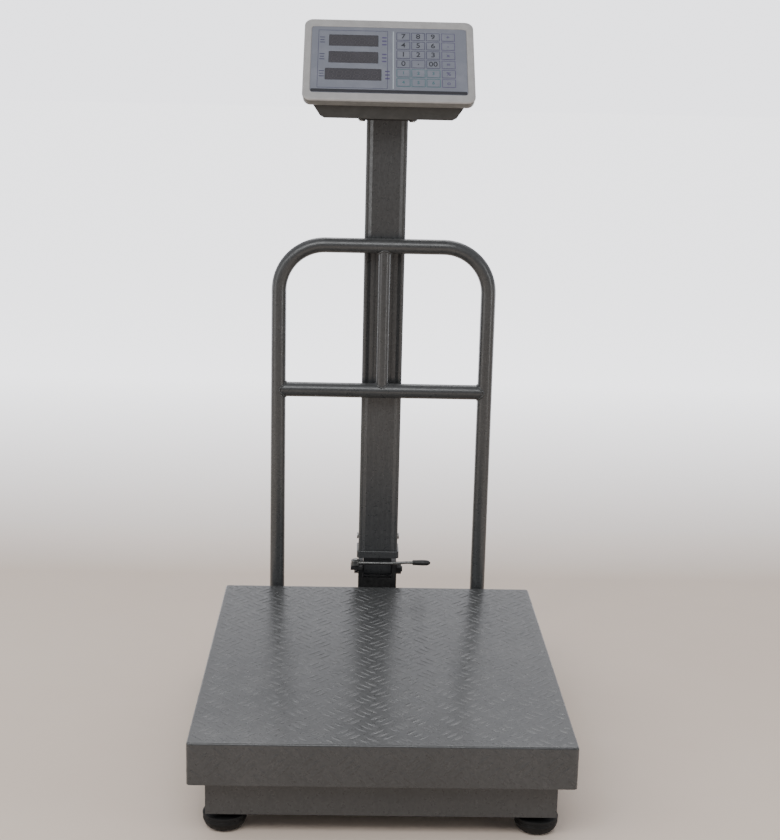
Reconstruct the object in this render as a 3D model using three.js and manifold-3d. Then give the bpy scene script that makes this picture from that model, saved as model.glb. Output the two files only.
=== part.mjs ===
// Platform shipping scale: a weighing platform on four levelling feet, a tubular load guard and a
// folding column that carries a tilted price indicator. Millimetres, +X right, +Y to the rear, +Z up.
import * as THREE from 'three';
import { mergeVertices } from 'three/addons/utils/BufferGeometryUtils.js';
import { ConvexGeometry } from 'three/addons/geometries/ConvexGeometry.js';
import Module from 'manifold-3d';

const wasm = await Module();
wasm.setup();

// Driving dimensions. Heights are above the floor, Y is measured from the platform's centre.
const PAN_WIDTH = 500;
const PAN_DEPTH = 600;
const PAN_TOP = 138;
const PAN_SKIRT = 58;
const SHEET = 2;
const GAP = 0.3;
const SMALL_SIDES = 12;

const FRAME_WIDTH = 456;
const FRAME_DEPTH = 560;
const FRAME_LOW = 30;
const FRAME_HIGH = 90;
const FRAME_WALL = 2.5;
const FRAME_FLANGE = 42;
const BEAM_TOP = 50;
const BEAM_WALL = 4;

const FOOT_X = 205;
const FOOT_Y = 250;
const FOOT_RADIUS = 29;
const FOOT_HEIGHT = 28;
const STUD_RADIUS = 5.9;

const CELL_LENGTH = 150;
const CELL_SIZE = 40;
const SPACER = 5;
const SPIDER_HEIGHT = 20;
const SPIDER_WIDTH = 424;
const SPIDER_DEPTH = 504;
const SPIDER_FLANGE = 44;

const GUARD_Y = 320;
const GUARD_X = 167;
const GUARD_TOP = 700;
const GUARD_BAR = 466;
const GUARD_RADIUS = 12;
const GUARD_BEND = 73;
const GUARD_FOOT = 40.3;

const COLUMN_Y = 356.5;
const COLUMN_WIDTH = 65;
const COLUMN_DEPTH = 45;
const COLUMN_LOW = 189.3;
const COLUMN_HIGH = 894.5;
const HINGE_Z = 151;
const HINGE_RADIUS = 4.9;
const STUB_WIDTH = 64;
const STUB_DEPTH = 34;
const STUB_TOP = 139.5;
const EAR_TOP = 165;
const EAR_INNER = 24;
const COLLAR_LOW = 177;

const LEVER_X = -37;
const LEVER_Y = 329;
const LEVER_Z = 170;
const LEVER_REACH = 88;
const GRIP_LENGTH = 30;

const HEAD_WIDTH = 264;
const HEAD_LENGTH = 172;
const HEAD_THICK = 16;
const HEAD_TILT = Math.PI / 4;
const HEAD_FRONT_Y = 260;
const HEAD_FRONT_Z = 926;
const FACE_RECESS = 1.5;
const HOUSING_LOW = 898.1;
const HOUSING_FRONT = 284;
const HOUSING_HALF = 117;
const HOUSING_SHOULDER = 1006;
// Rounded lower corners of the housing: half width, height and forward lean above its bottom.
const HOUSING_CORNER = [[98, 0, 0], [104.5, 3.4, 1], [108.5, 9.9, 3]];
const HOUSING_REAR = 400;
const REAR_REACH = 404;
const WINDOWS = [
  { width: 76, height: 24, up: 126 },
  { width: 76, height: 24, up: 90 },
  { width: 86, height: 24, up: 54 },
];
const WINDOW_X = -55;
const RECESS_WIDTH = 241;
const RECESS_LENGTH = 140;
const RECESS_MIDDLE = 85.5;
const FACE_THICK = 4;
const TUBE_INNER_X = 30.3;
const TUBE_INNER_Y = [338.3, 376.7];
const CABLE_Y = 371.4;
const SCREW_Z = 209;
const HEAD_SCREW_X = 39.5;
const SWITCH_X = 75;
const SOCKET_Z = 930;

// Beams, load cell and spider, stacked up from the frame.
const CELL_BEAM = [-92, -8];
const REAR_BEAM = [110, 150];
const LOWER_BOLTS_Y = [-62, -40];
const UPPER_BOLTS_Y = [42, 64];
const STOP_X = 200;
const STOP_Y = 240;
const BRACKET_BOLT_X = 43;
const BRACKET_BOLT_Z = 56;
const CABLE_Z = 55;
const CELL_LOW = BEAM_TOP + GAP + SPACER + GAP;
const CELL_HIGH = CELL_LOW + CELL_SIZE;
const SPIDER_LOW = CELL_HIGH + GAP + SPACER + GAP;
const SPIDER_HIGH = SPIDER_LOW + SPIDER_HEIGHT;
const SPIDER_PLATE = [10, 95];
const PLATE_THICK = 5;
const BUFFER_X = 190;
const BUFFER_Y = 230;

// Puts the middle of the whole scale's depth on the origin.
const SHIFT_Y = -(REAR_REACH - PAN_DEPTH / 2) / 2;

const PAINT = { color: 0x5f6063, roughness: 0.38, metalness: 0.35 };
const DARK_STEEL = { color: 0x2b2c2d, roughness: 0.45, metalness: 0.5 };
const ZINC = { color: 0xa9abab, roughness: 0.35, metalness: 0.9 };
const ALLOY = { color: 0xb9bcbe, roughness: 0.4, metalness: 0.9 };
const RUBBER = { color: 0x151515, roughness: 0.85, metalness: 0 };
const CASE = { color: 0xb6b4ae, roughness: 0.5, metalness: 0.1 };
const HOUSING = { color: 0x4c4b48, roughness: 0.55, metalness: 0.05 };
const OVERLAY = { color: 0x7a8591, roughness: 0.4, metalness: 0 };
const WINDOW = { color: 0x140c0e, roughness: 0.15, metalness: 0 };
const BOARD = { color: 0x1f5a34, roughness: 0.6, metalness: 0 };
const BATTERY = { color: 0x24272b, roughness: 0.6, metalness: 0 };
const BLACK = { color: 0x18181a, roughness: 0.5, metalness: 0 };

const scale = new THREE.Group();
scale.name = 'platform_scale';

// A closed solid for adding and subtracting, from a closed surface.
function solid(geometry) {
  const bare = geometry.clone();
  bare.deleteAttribute('normal');
  bare.deleteAttribute('uv');
  const welded = mergeVertices(bare, 1e-4);
  const corners = [];
  for (let i = 0; i < welded.index.count; i += 3) {
    const [a, b, c] = [0, 1, 2].map((k) => welded.index.getX(i + k));
    if (a !== b && b !== c && c !== a) {
      corners.push(a, b, c);
    }
  }
  return new wasm.Manifold(new wasm.Mesh({
    numProp: 3,
    vertProperties: new Float32Array(welded.attributes.position.array),
    triVerts: new Uint32Array(corners),
  }));
}

function surface(body) {
  const mesh = body.getMesh();
  const geometry = new THREE.BufferGeometry();
  geometry.setAttribute('position', new THREE.BufferAttribute(new Float32Array(mesh.vertProperties), 3));
  geometry.setIndex(new THREE.BufferAttribute(new Uint32Array(mesh.triVerts), 1));
  return geometry;
}

function cut(body, ...tools) {
  return tools.reduce((rest, tool) => rest.subtract(tool), body);
}

function join(...bodies) {
  return bodies.reduce((sum, body) => sum.add(body));
}

function add(name, geometry, look) {
  const material = new THREE.MeshStandardMaterial(look);
  const mesh = new THREE.Mesh(geometry, material);
  mesh.name = name;
  mesh.geometry.translate(0, SHIFT_Y, 0);
  mesh.geometry.computeVertexNormals();
  scale.add(mesh);
}

// A rectangular block between three pairs of limits.
function block([x0, x1], [y0, y1], [z0, z1]) {
  const geometry = new THREE.BoxGeometry(x1 - x0, y1 - y0, z1 - z0);
  geometry.translate((x0 + x1) / 2, (y0 + y1) / 2, (z0 + z1) / 2);
  return solid(geometry);
}

// A block centred on X.
function bar(halfWidth, yLimits, zLimits) {
  return block([-halfWidth, halfWidth], yLimits, zLimits);
}

// A round or polygonal bar along one axis; the centre gives its other two coordinates in X, Y, Z order.
function rod(axis, radius, [from, to], [a, b], sides = 24) {
  const geometry = new THREE.CylinderGeometry(radius, radius, to - from, sides);
  const middle = (from + to) / 2;
  if (axis === 'x') {
    geometry.rotateZ(Math.PI / 2);
    geometry.translate(middle, a, b);
  } else if (axis === 'y') {
    geometry.translate(a, middle, b);
  } else {
    geometry.rotateX(Math.PI / 2);
    geometry.translate(a, b, middle);
  }
  return solid(geometry);
}

// A turned solid on a vertical axis; the profile lists [radius, height] from the lower axis end up.
function turned(profile, x, y, sides = 24) {
  const points = profile.map(([radius, height]) => new THREE.Vector2(radius, height));
  const geometry = new THREE.LatheGeometry(points, sides);
  geometry.rotateX(Math.PI / 2);
  geometry.translate(x, y, 0);
  return solid(geometry);
}

function roundedShape(width, height, radius) {
  const [w, h] = [width / 2 - radius, height / 2 - radius];
  const shape = new THREE.Shape();
  shape.absarc(w, h, radius, 0, Math.PI / 2);
  shape.absarc(-w, h, radius, Math.PI / 2, Math.PI);
  shape.absarc(-w, -h, radius, Math.PI, Math.PI * 1.5);
  shape.absarc(w, -h, radius, Math.PI * 1.5, Math.PI * 2);
  return shape;
}

// A flat outline raised from one height to another, moved to (x, y).
function raised(shape, [low, high], x = 0, y = 0, curveSegments = 3) {
  const options = { depth: high - low, bevelEnabled: false, curveSegments };
  const geometry = new THREE.ExtrudeGeometry(shape, options);
  geometry.translate(x, y, low);
  return solid(geometry);
}

// A path of straight runs and arcs given as stations with their directions.
class Route extends THREE.Curve {
  constructor(stations) {
    super();
    this.stations = stations;
  }

  getSpacedPoints() {
    return this.stations.map((station) => station.at.clone());
  }

  getTangentAt(along) {
    const last = this.stations.length - 1;
    return this.stations[Math.round(along * last)].heading.clone();
  }
}

function swept(shape, route, curveSegments) {
  const options = { steps: route.stations.length - 1, extrudePath: route, curveSegments };
  return new THREE.ExtrudeGeometry(shape, options);
}

function ringShape(outer, inner) {
  const shape = new THREE.Shape();
  shape.absarc(0, 0, outer, 0, Math.PI * 2);
  const hole = new THREE.Path();
  hole.absarc(0, 0, inner, 0, Math.PI * 2);
  shape.holes.push(hole);
  return shape;
}

// Runs a round cable through a list of points with smooth corners.
function cable(points, radius, steps) {
  const curve = new THREE.CatmullRomCurve3(points.map((p) => new THREE.Vector3(...p)), false, 'centripetal');
  const shape = new THREE.Shape();
  shape.absarc(0, 0, radius, 0, Math.PI * 2);
  return new THREE.ExtrudeGeometry(shape, { steps, extrudePath: curve, curveSegments: 4 });
}

function fourCorners(x, y) {
  return [[-x, -y], [x, -y], [-x, y], [x, y]];
}

// Channel ring opening inwards: outer size, height limits, wall and flange width.
function channelRing(width, depth, [low, high], wall, flange) {
  const outer = bar(width / 2, [-depth / 2, depth / 2], [low, high]);
  const groove = bar(
    width / 2 - wall,
    [-depth / 2 + wall, depth / 2 - wall],
    [low + wall, high - wall],
  );
  const middle = bar(
    width / 2 - flange,
    [-depth / 2 + flange, depth / 2 - flange],
    [low - 1, high + 1],
  );
  return cut(outer, groove, middle);
}

// ---- Base frame ----------------------------------------------------------------------------

// An upside-down channel across the frame, with its legs on the lower flanges.
function crossBeam([front, rear]) {
  const reach = FRAME_WIDTH / 2 - FRAME_WALL + 0.5;
  const low = FRAME_LOW + FRAME_WALL - 0.5;
  return join(
    bar(reach, [front, rear], [BEAM_TOP - BEAM_WALL, BEAM_TOP]),
    bar(reach, [front, front + BEAM_WALL], [low, BEAM_TOP - 1]),
    bar(reach, [rear - BEAM_WALL, rear], [low, BEAM_TOP - 1]),
  );
}

function baseFrame() {
  let frame = channelRing(FRAME_WIDTH, FRAME_DEPTH, [FRAME_LOW, FRAME_HIGH], FRAME_WALL, FRAME_FLANGE);
  frame = join(frame, crossBeam(CELL_BEAM), crossBeam(REAR_BEAM));
  for (const [x, y] of fourCorners(FOOT_X, FOOT_Y)) {
    const nut = rod('z', 11, [FRAME_LOW + FRAME_WALL - 0.5, FRAME_LOW + 10], [x, y], 6);
    frame = cut(join(frame, nut), rod('z', STUD_RADIUS + 0.5, [0, 60], [x, y], 16));
  }
  for (const [x, y] of fourCorners(STOP_X, STOP_Y)) {
    frame = cut(frame, rod('z', 4.1, [80, 100], [x, y], SMALL_SIDES));
  }
  for (const y of LOWER_BOLTS_Y) {
    frame = cut(frame, rod('z', 4.3, [40, 60], [0, y], SMALL_SIDES));
  }
  for (const side of [-1, 1]) {
    frame = cut(frame, rod('y', 4.1, [270, 290], [side * BRACKET_BOLT_X, BRACKET_BOLT_Z], SMALL_SIDES));
  }
  frame = cut(frame, rod('y', 8, [270, 290], [0, CABLE_Z], 16));
  add('base_frame', surface(frame), PAINT);
}

// ---- Load cell and spider ------------------------------------------------------------------

function loadCell() {
  const half = CELL_LENGTH / 2;
  const middle = (CELL_LOW + CELL_HIGH) / 2;
  let cell = bar(CELL_SIZE / 2, [-half, half], [CELL_LOW, CELL_HIGH]);
  cell = cut(
    cell,
    rod('x', 13, [-30, 30], [-17, middle], 20),
    rod('x', 13, [-30, 30], [17, middle], 20),
    block([-30, 30], [-17, 17], [middle - 6, middle + 6]),
  );
  for (const y of LOWER_BOLTS_Y) {
    cell = cut(cell, rod('z', 4.2, [CELL_LOW - 5, CELL_LOW + 24], [0, y], SMALL_SIDES));
  }
  for (const y of UPPER_BOLTS_Y) {
    cell = cut(cell, rod('z', 4.2, [CELL_HIGH - 24, CELL_HIGH + 5], [0, y], SMALL_SIDES));
  }
  add('load_cell', surface(cell), ALLOY);
}

function spacers() {
  const lowerLimits = [BEAM_TOP + GAP, CELL_LOW - GAP];
  const upperLimits = [CELL_HIGH + GAP, SPIDER_LOW - GAP];
  let lower = bar(CELL_SIZE / 2, [-74, -28], lowerLimits);
  let upper = bar(CELL_SIZE / 2, [30, 74], upperLimits);
  for (const y of LOWER_BOLTS_Y) {
    lower = cut(lower, rod('z', 4.3, [40, 70], [0, y], SMALL_SIDES));
  }
  for (const y of UPPER_BOLTS_Y) {
    upper = cut(upper, rod('z', 4.3, [90, 110], [0, y], SMALL_SIDES));
  }
  add('cell_lower_spacer', surface(lower), ZINC);
  add('cell_upper_spacer', surface(upper), ZINC);
}

function cellBolts() {
  const headLow = BEAM_TOP - BEAM_WALL - GAP;
  LOWER_BOLTS_Y.forEach((y, i) => {
    const head = rod('z', 7.2, [headLow - 5.5, headLow], [0, y], 6);
    const shank = rod('z', 3.9, [headLow - 1, CELL_LOW + 20], [0, y], SMALL_SIDES);
    add(`cell_lower_bolt_${i + 1}`, surface(join(head, shank)), ZINC);
  });
  const seat = SPIDER_LOW + PLATE_THICK + GAP;
  UPPER_BOLTS_Y.forEach((y, i) => {
    const head = rod('z', 7.2, [seat, seat + 5.5], [0, y], 6);
    const shank = rod('z', 3.9, [CELL_HIGH - 20, seat + 1], [0, y], SMALL_SIDES);
    add(`cell_upper_bolt_${i + 1}`, surface(join(head, shank)), ZINC);
  });
}

function spiderFrame() {
  const [front, rear] = SPIDER_PLATE;
  const reach = SPIDER_WIDTH / 2 - 2;
  let spider = channelRing(SPIDER_WIDTH, SPIDER_DEPTH, [SPIDER_LOW, SPIDER_HIGH], FRAME_WALL, SPIDER_FLANGE);
  spider = join(
    spider,
    bar(reach, [front, rear], [SPIDER_LOW, SPIDER_LOW + PLATE_THICK]),
    bar(reach, [front, front + 3], [SPIDER_LOW + 1, SPIDER_HIGH - 1]),
    bar(reach, [rear - 3, rear], [SPIDER_LOW + 1, SPIDER_HIGH - 1]),
  );
  for (const y of UPPER_BOLTS_Y) {
    spider = cut(spider, rod('z', 4.3, [90, SPIDER_HIGH], [0, y], SMALL_SIDES));
  }
  for (const [x, y] of fourCorners(BUFFER_X, BUFFER_Y)) {
    spider = cut(spider, rod('z', 5.4, [SPIDER_HIGH - 5, SPIDER_HIGH + 5], [x, y], SMALL_SIDES));
  }
  add('spider_frame', surface(spider), DARK_STEEL);
}

function spiderBuffers() {
  const seat = SPIDER_HIGH + GAP;
  const top = PAN_TOP - SHEET - GAP;
  const profile = [[0, seat - 9], [5, seat - 9], [5, seat], [14, seat], [14, top - 3], [11, top], [0, top]];
  fourCorners(BUFFER_X, BUFFER_Y).forEach(([x, y], i) => {
    add(`spider_buffer_${i + 1}`, surface(turned(profile, x, y, 16)), RUBBER);
  });
}

function overloadStops() {
  const seat = FRAME_HIGH + GAP;
  const top = SPIDER_LOW - 1.4;
  const profile = [[0, seat - 9], [3.8, seat - 9], [3.8, seat], [9, seat], [9, top - 1], [8, top], [0, top]];
  fourCorners(STOP_X, STOP_Y).forEach(([x, y], i) => {
    add(`overload_stop_${i + 1}`, surface(turned(profile, x, y, 16)), ZINC);
  });
}

// From the load cell's side over the beams, through the rear web and up inside the column's stub.
function loadCellCable() {
  const start = CELL_SIZE / 2 + GAP;
  const points = [
    [start, -60, 75],
    [start + 20, -60, 74],
    [60, -40, 60],
    [60, 90, CABLE_Z],
    [25, 215, CABLE_Z],
    [0, 262, CABLE_Z],
    [0, 300, CABLE_Z],
    [0, 335, CABLE_Z],
    [0, COLUMN_Y, 72],
    [0, COLUMN_Y, 130],
  ];
  add('load_cell_cable', cable(points, 2.6, 32), BLACK);
}

// ---- Platform and feet ---------------------------------------------------------------------

function platformPan() {
  const low = PAN_TOP - PAN_SKIRT;
  const [halfWidth, halfDepth] = [PAN_WIDTH / 2, PAN_DEPTH / 2];
  const outer = bar(halfWidth, [-halfDepth, halfDepth], [low, PAN_TOP]);
  const inner = bar(halfWidth - SHEET, [SHEET - halfDepth, halfDepth - SHEET], [low - 1, PAN_TOP - SHEET]);
  add('platform_pan', surface(cut(outer, inner)), PAINT);
}

function feet() {
  const socket = 13;
  const pad = [
    [0, 0], [FOOT_RADIUS - 3, 0], [FOOT_RADIUS, 4], [FOOT_RADIUS, FOOT_HEIGHT - 9],
    [FOOT_RADIUS - 3, FOOT_HEIGHT - 4], [FOOT_RADIUS - 9, FOOT_HEIGHT], [0, FOOT_HEIGHT],
  ];
  fourCorners(FOOT_X, FOOT_Y).forEach(([x, y], i) => {
    const bore = rod('z', STUD_RADIUS + GAP, [socket, FOOT_HEIGHT + 2], [x, y], 16);
    add(`foot_pad_${i + 1}`, surface(cut(turned(pad, x, y), bore)), RUBBER);
    add(`foot_stud_${i + 1}`, surface(rod('z', STUD_RADIUS, [socket + GAP, 62], [x, y], 16)), ZINC);
  });
}

// ---- Load guard ----------------------------------------------------------------------------

function guardStations() {
  const [straight, inner] = [GUARD_TOP - GUARD_BEND, GUARD_X - GUARD_BEND];
  const at = (x, z) => new THREE.Vector3(x, GUARD_Y, z);
  const stations = [{ at: at(-GUARD_X, GUARD_FOOT), heading: new THREE.Vector3(0, 0, 1) }];
  for (const side of [-1, 1]) {
    const bends = 7;
    for (let i = 0; i <= bends; i += 1) {
      const turn = side < 0 ? (i / bends) * Math.PI / 2 : (1 - i / bends) * Math.PI / 2;
      const [c, s] = [Math.cos(turn), Math.sin(turn)];
      stations.push({
        at: at(side * (inner + GUARD_BEND * c), straight + GUARD_BEND * s),
        heading: new THREE.Vector3(s, 0, -side * c),
      });
    }
  }
  stations.push({ at: at(GUARD_X, GUARD_FOOT), heading: new THREE.Vector3(0, 0, -1) });
  return stations;
}

function loadGuard() {
  const pipe = ringShape(GUARD_RADIUS, GUARD_RADIUS - 1.8);
  add('guard_hoop', swept(pipe, new Route(guardStations()), 10), PAINT);

  const clear = GUARD_RADIUS + GAP;
  const legs = [-GUARD_X, GUARD_X].map((x) => rod('z', clear, [400, 540], [x, GUARD_Y], 24));
  const across = rod('x', GUARD_RADIUS, [-GUARD_X, GUARD_X], [GUARD_Y, GUARD_BAR], 24);
  const acrossBore = rod('x', GUARD_RADIUS - 1.8, [-200, 200], [GUARD_Y, GUARD_BAR], 24);
  add('guard_crossbar', surface(cut(across, acrossBore, ...legs)), PAINT);

  const upright = rod('z', 10, [GUARD_BAR, GUARD_TOP], [0, GUARD_Y], 24);
  const uprightBore = rod('z', 8.4, [GUARD_BAR - 1, GUARD_TOP + 1], [0, GUARD_Y], 24);
  const ends = [GUARD_BAR, GUARD_TOP].map((z) => rod('x', clear, [-40, 40], [GUARD_Y, z], 24));
  add('guard_centre_bar', surface(cut(upright, uprightBore, ...ends)), PAINT);
}

// Sockets on the rear of the frame, under the skirt, that hold the guard's legs.
function guardBrackets() {
  const front = FRAME_DEPTH / 2 + GAP;
  for (const [side, name] of [[-1, 'left'], [1, 'right']]) {
    const x = side * GUARD_X;
    const body = block([x - 17, x + 17], [front, GUARD_Y + 16], [36, 72]);
    const socket = rod('z', GUARD_RADIUS + GAP, [GUARD_FOOT - GAP, 80], [x, GUARD_Y], 24);
    add(`guard_bracket_${name}`, surface(cut(body, socket)), PAINT);
  }
}

// ---- Mast bracket, hinge and clamp lever ---------------------------------------------------

function mastBracket() {
  const front = FRAME_DEPTH / 2 + GAP;
  const [stubFront, stubRear] = [COLUMN_Y - STUB_DEPTH / 2, COLUMN_Y + STUB_DEPTH / 2];
  const half = STUB_WIDTH / 2;
  let bracket = join(
    bar(54, [front, front + 4], [35, 77]),
    bar(half, [front, stubRear], [36, 72]),
    bar(half, [stubFront, stubRear], [36, EAR_TOP]),
    block([LEVER_X - 8, -EAR_INNER - 1], [LEVER_Y - 8, stubFront + 6], [EAR_TOP - 5.5, EAR_TOP - 0.5]),
  );
  bracket = cut(
    bracket,
    bar(half - 3, [front - 1, stubRear - 3], [39, 69]),
    bar(half - 3, [stubFront + 3, stubRear - 3], [50, STUB_TOP - 3]),
    bar(EAR_INNER, [stubFront - 1, stubRear + 1], [STUB_TOP, EAR_TOP + 1]),
    rod('x', HINGE_RADIUS + 0.3, [-50, 50], [COLUMN_Y, HINGE_Z]),
    rod('z', 2.8, [150, 170], [LEVER_X, LEVER_Y], 24),
  );
  for (const side of [-1, 1]) {
    bracket = cut(bracket, rod('y', 4.1, [270, 290], [side * BRACKET_BOLT_X, BRACKET_BOLT_Z], SMALL_SIDES));
  }
  add('mast_bracket', surface(bracket), DARK_STEEL);
}

function bracketBolts() {
  const seat = FRAME_DEPTH / 2 + GAP + 4 + GAP;
  [-1, 1].forEach((side, i) => {
    const centre = [side * BRACKET_BOLT_X, BRACKET_BOLT_Z];
    const head = rod('y', 7.2, [seat, seat + 5.5], centre, 6);
    const shank = rod('y', 3.8, [266, seat + 1], centre, SMALL_SIDES);
    add(`bracket_bolt_${i + 1}`, surface(join(head, shank)), ZINC);
  });
}

function hingeBolt() {
  const side = STUB_WIDTH / 2 + GAP;
  const centre = [COLUMN_Y, HINGE_Z];
  const head = rod('x', 9.5, [-side - 6.5, -side], centre, 6);
  const shank = rod('x', HINGE_RADIUS, [-side - 1, side + 10], centre);
  add('hinge_bolt', surface(join(head, shank)), DARK_STEEL);
  const nut = rod('x', 9.5, [side, side + 8], centre, 6);
  add('hinge_nut', surface(cut(nut, rod('x', HINGE_RADIUS + GAP, [0, 60], centre))), DARK_STEEL);
}

function clampLever() {
  const low = EAR_TOP;
  const pin = [
    [0, low - 9], [2.5, low - 9], [2.5, low + 10.3], [4.2, low + 10.3], [4.2, low + 11.7], [0, low + 11.7],
  ];
  add('lever_pin', surface(turned(pin, LEVER_X, LEVER_Y, 24)), ZINC);

  const rodY = LEVER_Y - 2;
  const cam = rod('z', 7, [low + GAP, low + 10], [LEVER_X - 1, LEVER_Y], 28);
  const arm = rod('x', 2.4, [LEVER_X, LEVER_REACH - 12], [rodY, LEVER_Z], 16);
  const eye = rod('z', 2.6, [low - 5, low + 15], [LEVER_X, LEVER_Y], 24);
  add('lever_arm', surface(cut(join(cam, arm), eye)), ZINC);

  const start = LEVER_REACH - GRIP_LENGTH;
  const profile = [[0, 0], [3.7, 0], [4.3, 2], [4.8, 10], [4.8, 22], [4, 27], [2.2, 29.6], [0, GRIP_LENGTH]];
  const points = profile.map(([radius, along]) => new THREE.Vector2(radius, along));
  const grip = new THREE.LatheGeometry(points, 16);
  grip.rotateZ(-Math.PI / 2);
  grip.translate(start, rodY, LEVER_Z);
  const bore = rod('x', 2.7, [start - 2, LEVER_REACH - 11], [rodY, LEVER_Z], 16);
  add('lever_grip', surface(cut(solid(grip), bore)), BLACK);
}

// ---- Column --------------------------------------------------------------------------------

function columnFoot() {
  const centre = [COLUMN_Y, HINGE_Z];
  const reach = EAR_INNER - GAP;
  const collar = roundedShape(COLUMN_WIDTH + 5, COLUMN_DEPTH + 5, 5);
  let foot = join(
    rod('x', 11, [-reach, reach], centre),
    bar(reach, [COLUMN_Y - 11, COLUMN_Y + 11], [HINGE_Z, COLLAR_LOW + 1]),
    raised(collar, [COLLAR_LOW, COLUMN_LOW - GAP], 0, COLUMN_Y),
    bar(TUBE_INNER_X - GAP, [TUBE_INNER_Y[0] + GAP, TUBE_INNER_Y[1] - GAP], [COLUMN_LOW - 1, COLUMN_LOW + 40]),
  );
  foot = cut(
    foot,
    rod('x', HINGE_RADIUS + 0.1, [-50, 50], centre),
    rod('z', 3.4, [HINGE_Z + 20, COLUMN_LOW + 50], [0, CABLE_Y], SMALL_SIDES),
    rod('z', 12, [COLLAR_LOW + 4, COLUMN_LOW + 50], [-15, COLUMN_Y], 16),
    rod('z', 12, [COLLAR_LOW + 4, COLUMN_LOW + 50], [15, COLUMN_Y], 16),
  );
  for (const side of [-1, 1]) {
    foot = cut(foot, rod('x', 2.7, side < 0 ? [-31, -18] : [18, 31], [COLUMN_Y, SCREW_Z], SMALL_SIDES));
  }
  add('column_foot', surface(foot), DARK_STEEL);
}

// Extruded profile: a rounded ridge down each side of the front, sloping to a ribbed panel between.
function columnProfile() {
  const half = COLUMN_WIDTH / 2;
  const [front, rear] = [COLUMN_Y - COLUMN_DEPTH / 2, COLUMN_Y + COLUMN_DEPTH / 2];
  const [ridge, slope, recess, frontRound, rearRound] = [11, 6, 3, 4, 3];
  const panel = half - ridge;
  const floor = front + recess;
  const shape = new THREE.Shape();
  shape.moveTo(-half, rear - rearRound);
  shape.lineTo(-half, front + frontRound);
  shape.quadraticCurveTo(-half, front, -panel - slope, front);
  shape.lineTo(-panel, floor);
  const ribs = 5;
  const pitch = (2 * panel) / ribs;
  for (let i = 1; i < ribs; i += 1) {
    const x = -panel + i * pitch;
    shape.lineTo(x - 1.2, floor);
    shape.lineTo(x, floor - 0.4);
    shape.lineTo(x + 1.2, floor);
  }
  shape.lineTo(panel, floor);
  shape.lineTo(panel + slope, front);
  shape.quadraticCurveTo(half, front, half, front + frontRound);
  shape.lineTo(half, rear - rearRound);
  shape.quadraticCurveTo(half, rear, half - rearRound, rear);
  shape.lineTo(rearRound - half, rear);
  shape.quadraticCurveTo(-half, rear, -half, rear - rearRound);
  return shape;
}

function columnTube() {
  const outer = raised(columnProfile(), [COLUMN_LOW, COLUMN_HIGH], 0, 0, 4);
  const bore = bar(TUBE_INNER_X, TUBE_INNER_Y, [COLUMN_LOW - 1, COLUMN_HIGH + 1]);
  const screws = rod('x', 2.7, [-40, 40], [COLUMN_Y, SCREW_Z], SMALL_SIDES);
  add('column_tube', surface(cut(outer, bore, screws)), PAINT);
}

function columnScrews() {
  const seat = COLUMN_WIDTH / 2 + GAP;
  [-1, 1].forEach((side, i) => {
    const centre = [COLUMN_Y, SCREW_Z];
    const head = rod('x', 5.2, side < 0 ? [-seat - 2.6, -seat] : [seat, seat + 2.6], centre, 16);
    const shank = rod('x', 2.4, side < 0 ? [-seat - 1, -20] : [20, seat + 1], centre, SMALL_SIDES);
    add(`column_screw_${i + 1}`, surface(join(head, shank)), ZINC);
  });
}

function mastCable() {
  const points = [
    [0, CABLE_Y, 180],
    [0, CABLE_Y, 210],
    [0, CABLE_Y, 236],
    [0, 360, 300],
    [0, 357, 450],
    [0, 357, 700],
    [0, COLUMN_Y, 860],
    [0, COLUMN_Y, 906],
  ];
  add('mast_cable', cable(points, 2.6, 20), BLACK);
}

function headPlate() {
  const low = COLUMN_HIGH + GAP;
  const shape = roundedShape(92, 62, 6);
  let plate = join(
    raised(shape, [low, HOUSING_LOW - GAP], 0, COLUMN_Y),
    bar(TUBE_INNER_X - GAP, [TUBE_INNER_Y[0] + GAP, TUBE_INNER_Y[1] - GAP], [low - 26, low + 1]),
  );
  plate = cut(plate, bar(26, [COLUMN_Y - 14, COLUMN_Y + 14], [low - 30, HOUSING_LOW + 1]));
  for (const side of [-1, 1]) {
    plate = cut(plate, rod('z', 2.7, [low - 5, low + 10], [side * HEAD_SCREW_X, COLUMN_Y], SMALL_SIDES));
  }
  add('head_plate', surface(plate), DARK_STEEL);

  [-1, 1].forEach((side, i) => {
    const centre = [side * HEAD_SCREW_X, COLUMN_Y];
    const head = rod('z', 5, [low - GAP - 2.6, low - GAP], centre, 16);
    const shank = rod('z', 2.4, [low - 1, low + 12], centre, SMALL_SIDES);
    add(`head_screw_${i + 1}`, surface(join(head, shank)), ZINC);
  });
}

// ---- Indicator -----------------------------------------------------------------------------

// A point of the indicator's side view: up the tilted face from its lower edge, and out from it.
function facePoint(up, out) {
  return [
    HEAD_FRONT_Y + up * Math.cos(HEAD_TILT) - out * Math.sin(HEAD_TILT),
    HEAD_FRONT_Z + up * Math.sin(HEAD_TILT) + out * Math.cos(HEAD_TILT),
  ];
}

// Lays a solid drawn flat, X across, Y up the face and Z out of it, onto the tilted face.
function tilted(body) {
  const geometry = surface(body);
  geometry.rotateX(HEAD_TILT);
  geometry.translate(0, HEAD_FRONT_Y, HEAD_FRONT_Z);
  return geometry;
}

function hull(points) {
  return solid(new ConvexGeometry(points.map((p) => new THREE.Vector3(...p))));
}

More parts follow.
